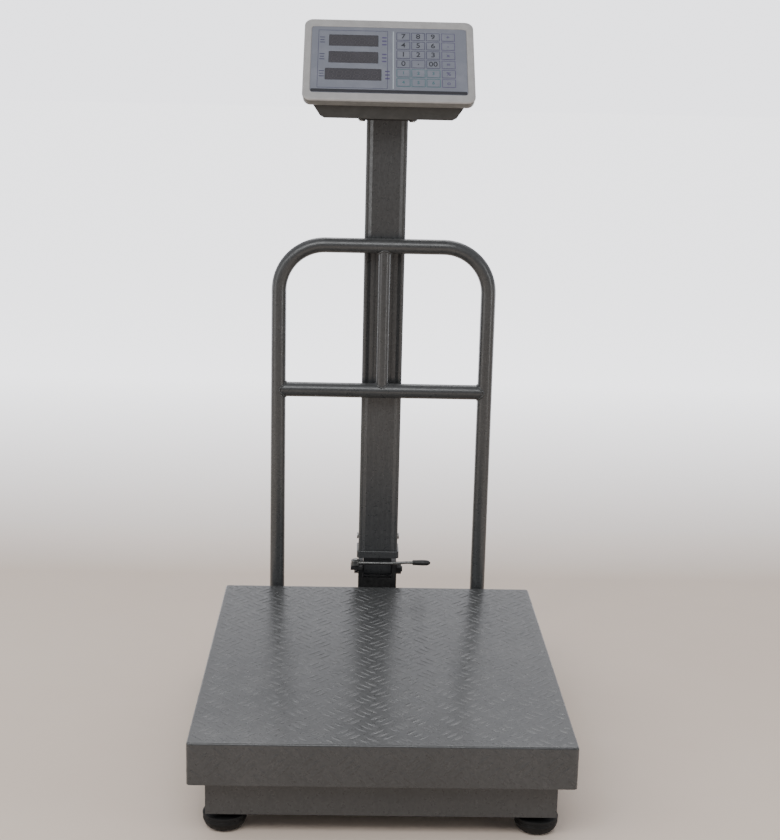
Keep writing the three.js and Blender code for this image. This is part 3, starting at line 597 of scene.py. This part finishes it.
# Material, width of the rounded edges in millimetres, and the nodes that get both.
KEPT = [
    (ENAMEL, 0.9, ["base_frame", "guard_bracket_left", "guard_bracket_right"]),
    (ENAMEL, 0.8, ["column_foot"]),
    (BLACK_STEEL, 0.8, ["spider_frame", "mast_bracket", "hinge_bolt", "hinge_nut", "head_plate"]),
    (ZINC, 0.4, ["cell_lower_spacer", "cell_upper_spacer", "lever_pin"]),
    (ZINC, 0.5, [f"cell_{level}_bolt_{i}" for level in ("lower", "upper") for i in (1, 2)]),
    (ZINC, 0.5, [f"{kind}_{i}" for kind in ("bracket_bolt", "column_screw") for i in (1, 2)]),
    (ZINC, 0.5, ["head_screw_1", "head_screw_2"]),
    (ZINC, 0.5, [f"overload_stop_{i}" for i in (1, 2, 3, 4)]),
    (ALLOY, 0.8, ["load_cell"]),
    (RUBBER, 0.8, [f"spider_buffer_{i}" for i in (1, 2, 3, 4)]),
    (SHEATH, 0.0, ["load_cell_cable", "mast_cable"]),
    (HOUSING, 1.2, ["lower_housing"]),
    (BOARD, 0.2, ["display_board"]),
    (BATTERY, 1.5, ["battery"]),
    (BLACK_PLASTIC, 0.5, ["power_jack", "switch_bezel", "switch_rocker"]),
]


def finish_cad_nodes():
    """Gives each CAD node that stays its material, and rounds its edges without moving a vertex."""
    for material, width, names in KEPT:
        for name in names:
            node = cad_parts[name]
            node.data.materials.clear()
            node.data.materials.append(material)
            if "custom_normal" in node.data.attributes:
                node.data.attributes.remove(node.data.attributes["custom_normal"])
            node.data.shade_smooth()
            weld = node.modifiers.new("weld", "WELD")
            weld.merge_threshold = 0.01 * MM
            flat = node.modifiers.new("flat_faces", "DECIMATE")
            flat.decimate_type = "DISSOLVE"
            flat.angle_limit = math.radians(0.5)
            if width:
                soften(node, width)
            even = node.modifiers.new("even_normals", "WEIGHTED_NORMAL")
            even.keep_sharp = True


# ---- Platform --------------------------------------------------------------------------------


def pan_sheet():
    """The folded platform sheet: flat top, bent edges and a skirt, open underneath."""
    low, high = low_high("platform_pan")
    width, length = (high.x - low.x) / 2, (high.y - low.y) / 2
    middle = ((low.x + high.x) / 2, (low.y + high.y) / 2)
    rows = [
        (SHEET + PAN_BEND, high.z - SHEET),
        (SHEET, high.z - SHEET - PAN_BEND),
        (SHEET, low.z + PAN_EDGE),
        (SHEET - PAN_EDGE, low.z),
        (PAN_EDGE, low.z),
        (0.0, low.z + PAN_EDGE),
        (0.0, high.z - PAN_BEND),
    ]
    for step in range(1, 6):
        turn = QUARTER * step / 5
        rows.append((PAN_BEND * (1 - math.cos(turn)), high.z - PAN_BEND * (1 - math.sin(turn))))
    skin = Skin()
    rings = []
    for inset, height in rows:
        radius = max(PAN_CORNER - inset, 1.2)
        outline = rounded_outline(width - inset, length - inset, radius, 5, middle)
        rings.append([(x, y, height) for x, y in outline])
    skin.join(rings)
    piece("pan_sheet", skin.mesh("pan_sheet"), ENAMEL, "platform", "painted steel", "platform_pan")


def tread_bar(skin, centre, along, across, out, half_length):
    """One raised lens-shaped bar: pointed ends, rounded crown, foot sunk into the sheet."""
    stations = 8
    rising = [(-1.0, -0.12), (-0.72, 0.18), (-0.36, 0.76)]
    section = rising + [(0.0, 1.0)] + [(-side, up) for side, up in reversed(rising)]
    rings = []
    for i in range(stations + 1):
        t = -1 + 2 * i / stations
        fullness = max(1 - t * t, 0.02)
        half_width = TREAD_WIDTH / 2 * fullness ** 0.8
        crown = TREAD_HEIGHT * fullness ** 0.5
        middle = centre + along * (t * half_length)
        rings.append([
            middle + across * (half_width * side) + out * (crown * up if up > 0 else up)
            for side, up in section
        ])
    skin.join(rings)


def clipped(centre, direction, reach, low, high):
    """The part of a line through centre, up to reach each way, that stays inside a rectangle."""
    first, last = -reach, reach
    for k in range(2):
        if abs(direction[k]) < 1e-9:
            continue
        ends = sorted(((low[k] - centre[k]) / direction[k], (high[k] - centre[k]) / direction[k]))
        first, last = max(first, ends[0]), min(last, ends[1])
    return first, last


def tread_field(skin, corner, right, up, size):
    """Covers one flat face with groups of three bars, turned about in every other cell."""
    out = right.cross(up)
    reach = int((size[0] + size[1]) / TREAD_CELL) + 2
    slant = math.sqrt(0.5)
    axes = [(slant, slant), (-slant, slant)]
    low = (TREAD_MARGIN, TREAD_MARGIN)
    high = (size[0] - TREAD_MARGIN, size[1] - TREAD_MARGIN)
    for i in range(-reach, reach + 1):
        for j in range(-reach, reach + 1):
            way = axes[(i + j) % 2]
            side = axes[(i + j + 1) % 2]
            for step in (-1, 0, 1):
                offset = step * TREAD_CELL / 3
                flat = [
                    size[k] / 2
                    + (i * axes[0][k] + j * axes[1][k]) * TREAD_CELL
                    + side[k] * offset
                    for k in range(2)
                ]
                first, last = clipped(flat, way, TREAD_LENGTH / 2, low, high)
                if last - first < TREAD_LENGTH / 3:
                    continue
                middle = [flat[k] + way[k] * (first + last) / 2 for k in range(2)]
                centre = corner + right * middle[0] + up * middle[1]
                along = right * way[0] + up * way[1]
                across = out.cross(along)
                tread_bar(skin, centre, along, across, out, (last - first) / 2)


def pan_tread():
    """The raised pattern on the top and on the four sides of the skirt."""
    low, high = low_high("platform_pan")
    width, length, skirt = high.x - low.x, high.y - low.y, high.z - low.z
    x, y, z = Vector((1, 0, 0)), Vector((0, 1, 0)), Vector((0, 0, 1))
    top = Skin()
    tread_field(top, Vector((low.x, low.y, high.z)), x, y, (width, length))
    sides = Skin()
    tread_field(sides, Vector((low.x, low.y, low.z)), x, z, (width, skirt))
    tread_field(sides, Vector((high.x, low.y, low.z)), y, z, (length, skirt))
    tread_field(sides, Vector((high.x, high.y, low.z)), -x, z, (width, skirt))
    tread_field(sides, Vector((low.x, high.y, low.z)), -y, z, (length, skirt))
    piece("pan_tread_top", top.mesh("pan_tread_top"), ENAMEL, "platform", "painted steel", crease=60)
    piece("pan_tread_sides", sides.mesh("pan_tread_sides"), ENAMEL, "platform", "painted steel", crease=60)


# ---- Feet ------------------------------------------------------------------------------------


def foot_rubber(index):
    """A moulded pad with a rounded underside and two grip grooves round it."""
    low, high = low_high(f"foot_pad_{index}")
    centre = ((low.x + high.x) / 2, (low.y + high.y) / 2, low.z)
    radius, height = (high.x - low.x) / 2, high.z - low.z
    profile = [(6.3, 13), (6.3, height - 0.5), (7.0, height), (12, height), (12.8, height - 0.8)]
    profile += [(13.4, height - 5.2), (14.4, height - 6), (radius - 2, height - 6.4)]
    profile += [(radius - 0.6, height - 7), (radius, height - 8.2), (radius, height - 10.4)]
    for groove in (11.4, 14.0):
        level = height - groove
        profile += [(radius - 0.9, level), (radius - 0.3, level - 0.8), (radius - 0.3, level - 1.8)]
    profile += [(radius - 1.4, 9), (radius - 3, 5.4), (radius - 5.6, 2.6), (radius - 9, 0.6)]
    profile += [(radius - 12, 0), (radius - 15, 0), (radius - 16, 1.2), (1.0, 1.2), (1.0, 13)]
    skin = turned(centre, (0, 0, 1), profile, bored=True)
    name = f"foot_rubber_{index}"
    piece(name, skin.mesh(name), RUBBER, f"foot_{index}", "rubber", f"foot_pad_{index}", crease=40)


def foot_thread(index):
    """The foot's stud, with its thread as a stack of ridges."""
    low, high = low_high(f"foot_stud_{index}")
    centre = ((low.x + high.x) / 2, (low.y + high.y) / 2, low.z)
    crest = (high.x - low.x) / 2
    root = crest - THREAD_DEPTH
    profile = [(root - 0.4, 0), (root, 0.5)]
    for k in range(int((high.z - low.z - 2) / THREAD_PITCH)):
        profile.append((crest, 0.9 + (k + 0.5) * THREAD_PITCH))
        profile.append((root, 0.9 + (k + 1) * THREAD_PITCH))
    profile.append((root - 0.6, high.z - low.z))
    skin = turned(centre, (0, 0, 1), profile, 24)
    name = f"foot_thread_{index}"
    piece(name, skin.mesh(name), ZINC, f"foot_{index}", "zinc steel", f"foot_stud_{index}", crease=50)


# ---- Load guard ------------------------------------------------------------------------------


def guard():
    """The bent hoop, the bars between its legs, and the welds that join them."""
    low, high = low_high("guard_hoop")
    rail_low, rail_high = low_high("guard_crossbar")
    y, radius = (low.y + high.y) / 2, (high.y - low.y) / 2
    side, top = high.x - radius, high.z - radius
    level = (rail_low.z + rail_high.z) / 2
    guard_pipe(y, radius, side, low.z, top)
    guard_bars(y, radius, side, level, top)
    guard_welds(y, radius, side, level, top)


def guard_pipe(y, radius, side, foot, top):
    """One pipe: up the left leg, round two bends and down the right leg."""
    path = [(-side, y, foot), (-side, y, (foot + top) / 2), (-side, y, top - GUARD_BEND - 6)]
    bends = 18
    for i in range(bends + 1):
        turn = QUARTER * i / bends
        x = -side + GUARD_BEND * (1 - math.cos(turn))
        path.append((x, y, top - GUARD_BEND * (1 - math.sin(turn))))
    path += [(-side + GUARD_BEND + 6, y, top), (0, y, top)]
    mirrored = [(-x, y, z) for x, y, z in reversed(path[:-1])]
    skin = Skin()
    skin.join(tube_rings(path + mirrored, radius, PIPE_SIDES))
    piece("guard_pipe", skin.mesh("guard_pipe"), ENAMEL, "base", "painted steel", "guard_hoop")


def guard_bars(y, radius, side, level, top):
    """The crossbar between the legs, and the thinner upright from it to the top of the hoop."""
    reach = side - radius / 3
    skin = Skin()
    skin.join(tube_rings([(-reach, y, level), (0, y, level), (reach, y, level)], radius, PIPE_SIDES))
    piece("guard_rail", skin.mesh("guard_rail"), ENAMEL, "base", "painted steel", "guard_crossbar")

    upright = [(0, y, level + radius / 2), (0, y, top - radius / 2)]
    skin = Skin()
    skin.join(tube_rings(upright, CENTRE_BAR_RADIUS, PIPE_SIDES))
    piece("guard_upright", skin.mesh("guard_upright"), ENAMEL, "base", "painted steel", "guard_centre_bar")


def guard_welds(y, radius, side, level, top):
    """A bead at both ends of the crossbar and of the upright."""
    skin = Skin()
    across, up, depth = Vector((1, 0, 0)), Vector((0, 0, 1)), Vector((0, 1, 0))
    for way in (-1, 1):
        weld_bead(skin, Vector((way * side, y, level)), across * -way, up, depth, radius, radius)
    weld_bead(skin, Vector((0, y, level)), up, across, depth, CENTRE_BAR_RADIUS, radius)
    weld_bead(skin, Vector((0, y, top)), -up, across, depth, CENTRE_BAR_RADIUS, radius)
    piece("guard_welds", skin.mesh("guard_welds"), ENAMEL, "base", "painted steel", crease=60)


def weld_bead(skin, centre, away, other, depth, branch, main):
    """A rippled fillet where a pipe of one radius leaves the side of another."""
    path, radii = [], []
    for k in range(BEAD_POINTS):
        turn = 2 * math.pi * k / BEAD_POINTS
        sideways, deep = branch * math.cos(turn), branch * math.sin(turn)
        rise = math.sqrt(max(main * main - deep * deep, 4.0))
        path.append(centre + other * sideways + depth * (deep * 1.01) + away * rise)
        radii.append(BEAD_RADIUS + 0.35 * math.sin(turn * 18) + 0.2 * math.sin(turn * 5))
    skin.join(looped_tube(path, radii, BEAD_SIDES), loop=True)


# ---- Column and clamp lever ------------------------------------------------------------------


def column_outline(low, high):
    """The column's section: rounded ridges down both sides of the front, ribs between them."""
    half, front, rear = high.x, low.y, high.y
    panel = half - COLUMN_RIDGE
    floor = front + COLUMN_RECESS
    back = []
    for corner, start in ((half - COLUMN_CORNER, 0), (COLUMN_CORNER - half, 1)):
        for step in range(6):
            turn = (start + step / 5) * QUARTER
            x = corner + COLUMN_CORNER * math.cos(turn)
            back.append((x, rear - COLUMN_CORNER * (1 - math.sin(turn))))
    ridge = [(panel + 0.3, floor - 0.1), (panel + 1.2, floor - 0.5), (panel + 4.7, front + 0.6)]
    ridge += [(panel + 5.5, front + 0.2), (panel + 6.5, front)]
    for step in range(6):
        turn = QUARTER * step / 5
        x = half - COLUMN_ROUND * (1 - math.sin(turn))
        ridge.append((x, front + COLUMN_ROUND * (1 - math.cos(turn))))
    left = [(-x, y) for x, y in reversed(ridge)]
    ribs = []
    pitch = 2 * panel / COLUMN_RIBS
    for i in range(COLUMN_RIBS):
        x = -panel + (i + 0.5) * pitch
        ribs += [(x - pitch * 0.40, floor), (x - pitch * 0.26, floor - 0.3), (x, floor - 0.4)]
        ribs += [(x + pitch * 0.26, floor - 0.3), (x + pitch * 0.40, floor)]
    return back + left + [(-panel, floor)] + ribs + [(panel, floor)] + ridge


def column():
    """The extrusion, hollow from end to end, with a thicker front wall for the recess."""
    low, high = low_high("column_tube")
    half_depth = (high.y - low.y) / 2
    middle = (0, (low.y + high.y) / 2 + 1.0)
    bore = rounded_outline(high.x - COLUMN_WALL, half_depth - COLUMN_WALL - 1.1, 1.5, 4, middle)
    mesh = plate("column_extrusion", [column_outline(low, high), bore], low.z, high.z)
    piece("column_extrusion", mesh, ENAMEL, "mast", "painted steel", "column_tube", crease=38)


def clamp_lever():
    """The lever's line comes from its grip: level at the cam, and a little higher in the grip."""
    low, high = low_high("lever_grip")
    rod_y, rod_z = (low.y + high.y) / 2, (low.z + high.z) / 2
    lever_rod(rod_y, rod_z, high.x)
    lever_handle(rod_y, rod_z + LEVER_RISE)


def lever_rod(rod_y, rod_z, tip):
    """A cast cam on the pivot pin, with a bent steel rod."""
    low, high = low_high("lever_arm")
    pin_low, pin_high = low_high("lever_pin")
    pivot = ((pin_low.x + pin_high.x) / 2, (pin_low.y + pin_high.y) / 2, low.z)
    height = high.z - low.z
    lower = [(CAM_BORE, 0), (6.2, 0), (7.2, 0.8), (7.4, 2.2)]
    upper = [(radius, height - level) for radius, level in reversed(lower)]
    skin = turned(pivot, (0, 0, 1), lower + [(6.9, height / 2)] + upper, 40, bored=True)
    held = rod_z + LEVER_RISE
    start, end = LEVER_BEND
    path = [(pivot[0] + 4, rod_y, rod_z), (pivot[0] + 20, rod_y, rod_z), (start, rod_y, rod_z)]
    path += [((start + end) / 2, rod_y, (rod_z + held) / 2), (end, rod_y, held), (tip - 14, rod_y, held)]
    skin.join(tube_rings(path, [3.4, 2.6, 2.4, 2.4, 2.4, 2.4], 24))
    piece("lever_rod", skin.mesh("lever_rod"), LEVER_STEEL, "clamp_lever", "zinc steel", "lever_arm")


def lever_handle(rod_y, held):
    """The moulded grip: a collar, a neck and a long swell with a rounded end."""
    low, high = low_high("lever_grip")
    length = high.x - low.x
    widest = (high.z - low.z) / 2
    profile = [(GRIP_BORE, 12), (GRIP_BORE, 0.4), (3.0, 0), (3.9, 0.2), (4.4, 1.2), (4.5, 2.2)]
    profile += [(4.2, 3.0), (4.5, 4.2)]
    for step in range(9):
        t = step / 8
        swell = widest - 0.9 * (1 - math.sin(math.pi * (0.15 + 0.6 * t)))
        profile.append((swell, 6 + t * (length - 12)))
    profile += [(widest * 0.78, length - 3), (widest * 0.45, length - 0.9), (1.2, length), (0.4, length)]
    skin = turned((low.x, rod_y, held), (1, 0, 0), profile, 32)
    mesh = skin.mesh("lever_handle")
    piece("lever_handle", mesh, BLACK_PLASTIC, "clamp_lever", "black plastic", "lever_grip")


# ---- Indicator -------------------------------------------------------------------------------


def face_place():
    """The transform from the drawn face, X across, Y up it and Z out of it, to the tilted head."""
    low, high = low_high("face_overlay")
    reach = RECESS_HALF_LENGTH - FILM_GAP
    sine, cosine = math.sin(HEAD_TILT), math.cos(HEAD_TILT)
    lower = high.z - (RECESS_MIDDLE + reach) * sine + 0.4 * cosine
    front = low.y - (RECESS_MIDDLE - reach) * cosine - 0.4 * sine
    return Matrix.Translation((0, front, lower)) @ Matrix.Rotation(HEAD_TILT, 4, "X")


FACE = face_place()


def on_face(name, mesh, material, slot, *nodes):
    """Makes a piece of a mesh drawn on the face, and puts it in place on the head."""
    mesh.transform(FACE)
    return piece(name, mesh, material, "mast", slot, *nodes)


def head_ring(inset, out):
    """The head's outline, pulled in by an inset, at a level out of the face."""
    width, length = HEAD_HALF_WIDTH - inset, HEAD_HALF_LENGTH - inset
    outline = rounded_outline(width, length, HEAD_CORNER - inset, 8, (0, HEAD_HALF_LENGTH))
    return [(x, y, out) for x, y in outline]


def case_front():
    """The case's front: a rounded tray with a crowned rim, open in the middle for the film."""
    middle = (0, RECESS_MIDDLE)
    rings = [head_ring(0.6, -RIM_DEPTH), head_ring(0.0, 0.6 - RIM_DEPTH)]
    for step in range(7):
        turn = QUARTER * step / 6
        rings.append(head_ring(RIM_ROUND * (1 - math.cos(turn)), RIM_ROUND * (math.sin(turn) - 1)))
    for grow, out in ((3.4, 0.0), (1.4, -0.15), (0.6, -0.4), (0.15, -0.9), (0.0, -RECESS_DEPTH)):
        width, length = RECESS_HALF_WIDTH + grow, RECESS_HALF_LENGTH + grow
        outline = rounded_outline(width, length, RECESS_CORNER + grow, 8, middle)
        rings.append([(x, y, out) for x, y in outline])
    opening = rounded_outline(RECESS_HALF_WIDTH - 14, RECESS_HALF_LENGTH - 10, 3.0, 8, middle)
    for out in (-RECESS_DEPTH, -RIM_DEPTH):
        rings.append([(x, y, out) for x, y in opening])
    skin = Skin()
    skin.join(rings, loop=True)
    on_face("case_front", skin.mesh("case_front"), CASE, "case plastic", "upper_case")


def case_skirt():
    """The shell behind the rim, tapering back to the lower housing; its dark grey is painted shade under
    the rim.
    """
    rings = [
        head_ring(4.5, -RIM_DEPTH - 0.2),
        head_ring(1.0, -RIM_DEPTH - 0.2),
        head_ring(0.8, -RIM_DEPTH - 0.9),
        head_ring(1.6, 3.0 - HEAD_THICK),
        head_ring(2.6, 1.0 - HEAD_THICK),
        head_ring(4.2, -HEAD_THICK),
        head_ring(7.0, -HEAD_THICK),
        head_ring(7.0, -RIM_DEPTH - 3.0),
    ]
    skin = Skin()
    skin.join(rings, loop=True)
    # Coloured dark as painted shade under the rim.
    on_face("case_skirt", skin.mesh("case_skirt"), SHADE_PAINTED_SHELL, "housing plastic")


def window_outline(width, height, up, slack, radius):
    """A display window's outline, grown by some slack all round."""
    return rounded_outline(width / 2 + slack, height / 2 + slack, radius, 3, (WINDOW_X, up))


def film():
    """The printed film, with a hole over each window, and a dark band of painted shadow along its lower
    edge, where the recess shades the film.
    """
    width, length = RECESS_HALF_WIDTH - FILM_GAP, RECESS_HALF_LENGTH - FILM_GAP
    outer = rounded_outline(width, length, RECESS_CORNER, 6, (0, RECESS_MIDDLE))
    holes = [window_outline(*window, 0.3, 1.2) for window in WINDOWS]
    mesh = plate("printed_film", [outer, *holes], *FILM_LAYER)
    soften(on_face("printed_film", mesh, FILM, "overlay film", "face_overlay"), 0.2)
    # Painted shadow: a dark band along the film's lower edge for the shade at the bottom of the recess.
    lower = RECESS_MIDDLE - RECESS_HALF_LENGTH
    band = rounded_outline(RECESS_HALF_WIDTH - 1.2, 3.2, 1.5, 3, (0, lower + 4.0))
    on_face("film_painted_shadow_band", plate("film_painted_shadow_band", [band], *SHADOW_BAND_LAYER), DARK_INK_AND_PAINTED_SHADOW, "overlay film")


def strip(half_width, half_height, x, y):
    """A small printed bar with softened corners."""
    return rounded_outline(half_width, half_height, min(half_width, half_height) * 0.6, 2, (x, y))


def join_plates(name, outlines, low, high):
    """Many small raised marks as one mesh."""
    shape = bmesh.new()
    for outline in outlines:
        part = plate("part", [outline], low, high)
        shape.from_mesh(part)
        bpy.data.meshes.remove(part)
    mesh = bpy.data.meshes.new(name)
    shape.to_mesh(mesh)
    shape.free()
    return mesh


def printed(name, outlines, material):
    """Ink marks on the film, as one piece."""
    on_face(name, join_plates(name, outlines, *PRINT_LAYER), material, "overlay film")


def border(half_width, half_height, x, y, line):
    """Four thin strips round a rectangle."""
    return [
        strip(half_width, line, x, y + half_height),
        strip(half_width, line, x, y - half_height),
        strip(line, half_height, x - half_width, y),
        strip(line, half_height, x + half_width, y),
    ]


def keypad():
    """Raised key domes in six rows of four, with their outlines printed round them."""
    domes, outlines = [], {"dark": [], "teal": [], "violet": []}
    for row, y in enumerate(KEY_ROWS):
        for column_index, x in enumerate(KEY_COLUMNS):
            domes.append(rounded_outline(KEY_HALF[0], KEY_HALF[1], 2.4, 4, (x, y)))
            tone = "violet" if column_index == 3 else "teal" if row > 3 else "dark"
            half_width, half_height = KEY_HALF[0] + KEY_LINE_GAP, KEY_HALF[1] + KEY_LINE_GAP
            outlines[tone] += border(half_width, half_height, x, y, KEY_LINE)
    mesh = join_plates("key_domes", domes, *DOME_LAYER)
    soften(on_face("key_domes", mesh, FILM, "overlay film"), 0.25, 3)
    inks = {"dark": INK_NAVY, "teal": INK_TEAL, "violet": INK_VIOLET}
    for tone, marks in outlines.items():
        printed(f"key_outlines_{tone}", marks, inks[tone])


def letters(name, marks, material):
    """Raised figures; each mark is (text, size, x, y) with its middle at x, y."""
    shape = bmesh.new()
    for text, size, x, y in marks:
        curve = bpy.data.curves.new("figure", "FONT")
        curve.body = text
        curve.size = size
        curve.extrude = FIGURE_RELIEF
        curve.offset = FIGURE_WEIGHT
        curve.align_x = "CENTER"
        curve.align_y = "CENTER"
        made = bpy.data.objects.new("figure", curve)
        bpy.context.collection.objects.link(made)
        bpy.context.view_layer.update()
        evaluated = made.evaluated_get(bpy.context.evaluated_depsgraph_get())
        mesh = bpy.data.meshes.new_from_object(evaluated)
        mesh.transform(Matrix.Translation((x, y, FIGURE_LEVEL)))
        shape.from_mesh(mesh)
        bpy.data.objects.remove(made)
        bpy.data.curves.remove(curve)
        bpy.data.meshes.remove(mesh)
    bmesh.ops.remove_doubles(shape, verts=shape.verts, dist=0.001)
    mesh = bpy.data.meshes.new(name)
    shape.to_mesh(mesh)
    shape.free()
    on_face(name, mesh, material, "overlay film")


def key_figures():
    """Digits on the number keys and plain signs on the rest."""
    rows = [("7", "8", "9"), ("4", "5", "6"), ("1", "2", "3"), ("0", ".", "00")]
    marks = []
    for y, texts in zip(KEY_ROWS, rows):
        for x, text in zip(KEY_COLUMNS, texts):
            marks.append((text, DIGIT_SIZE, x, y + (POINT_RISE if text == "." else 0)))
    letters("key_digits", marks, DARK_INK_AND_PAINTED_SHADOW)

    signs = ["+", "-", "x", "=", "%", "o"]
    marks = [(text, SIGN_SIZE, KEY_COLUMNS[3], y) for y, text in zip(KEY_ROWS, signs)]
    letters("key_signs", marks, INK_VIOLET)

    marks = []
    for y, texts in zip(KEY_ROWS[4:], ("123", "456")):
        for x, text in zip(KEY_COLUMNS, texts):
            marks.append((text, SMALL_DIGIT_SIZE, x, y))
    letters("key_memory_digits", marks, INK_TEAL)


def print_marks():
    """Border lines, the divider, and plain marks that stand for the small captions."""
    middle, half = (PANEL_LOW + PANEL_HIGH) / 2, (PANEL_HIGH - PANEL_LOW) / 2
    printed("panel_border", border(PANEL_HALF_WIDTH, half, PANEL_MIDDLE_X, middle, 0.35), INK_NAVY)
    printed("panel_divider", [strip(0.9, half, DIVIDER_X, middle)], INK_PALE)
    captions = []
    units = []
    for width, _, up in WINDOWS:
        for k in range(3):
            captions.append(strip(4.0 - 0.8 * (k % 2), 0.8, CAPTION_X, up + 6 - 5.5 * k))
            units.append(strip(3.6, 1.5, WINDOW_X + width / 2 + 9.5, up + 7.5 - 7.5 * k))
    printed("window_captions", captions, INK_NAVY)
    printed("unit_marks", units, INK_VIOLET)


def segment_outlines(x, y, height):
    """The seven bars and the point of one digit, leaning slightly."""
    half, thick, lean = height * 0.27, height * 0.055, 0.12
    bars = []
    for level in (-1, 0, 1):
        bars.append((0, level * height / 2, half * 0.78, thick))
    for across in (-1, 1):
        for level in (-1, 1):
            bars.append((across * half, level * height / 4, thick, height * 0.2))
    outlines = []
    for bar_x, bar_y, bar_w, bar_h in bars:
        outline = rounded_outline(bar_w, bar_h, min(bar_w, bar_h) * 0.7, 2, (bar_x, bar_y))
        outlines.append([(x + px + lean * py, y + py) for px, py in outline])
    point = (x + half * 1.65, y - height / 2)
    outlines.append(rounded_outline(thick * 1.1, thick * 1.1, thick, 3, point))
    return outlines


def windows():
    """The smoked panes, with a row of unlit digits on each."""
    for index, (width, height, up) in enumerate(WINDOWS, 1):
        name = f"window_pane_{index}"
        mesh = plate(name, [window_outline(width, height, up, 0.0, 1.0)], *PANE_LAYER)
        made = on_face(name, mesh, FILTER, "display filter", f"display_window_{index}")
        soften(made, 0.3, 3)
        digits = []
        count = WINDOW_DIGITS[index - 1]
        for k in range(count):
            x = WINDOW_X + (k - (count - 1) / 2) * width / (count + 0.4)
            digits += segment_outlines(x - 1.0, up, height * 0.62)
        name = f"window_segments_{index}"
        on_face(name, join_plates(name, digits, *SEGMENT_LAYER), UNLIT, "display filter")


# ---- Stage and assembly ----------------------------------------------------------------------


def make_floor():
    """One large flat sheet under the feet."""
    mesh = bpy.data.meshes.new("floor")
    far = FLOOR_REACH
    mesh.from_pydata([(-far, -far, 0), (far, -far, 0), (far, far, 0), (-far, far, 0)], [], [(0, 1, 2, 3)])
    mesh.materials.append(floor_paint())
    floor = bpy.data.objects.new("floor", mesh)
    bpy.context.collection.objects.link(floor)


make_camera()
make_world()
for light in LIGHTS:
    soft_light(*light)
make_floor()
finish_cad_nodes()
pan_sheet()
pan_tread()
for number in (1, 2, 3, 4):
    foot_rubber(number)
    foot_thread(number)
guard()
column()
clamp_lever()
case_front()
case_skirt()
film()
keypad()
key_figures()
print_marks()
windows()
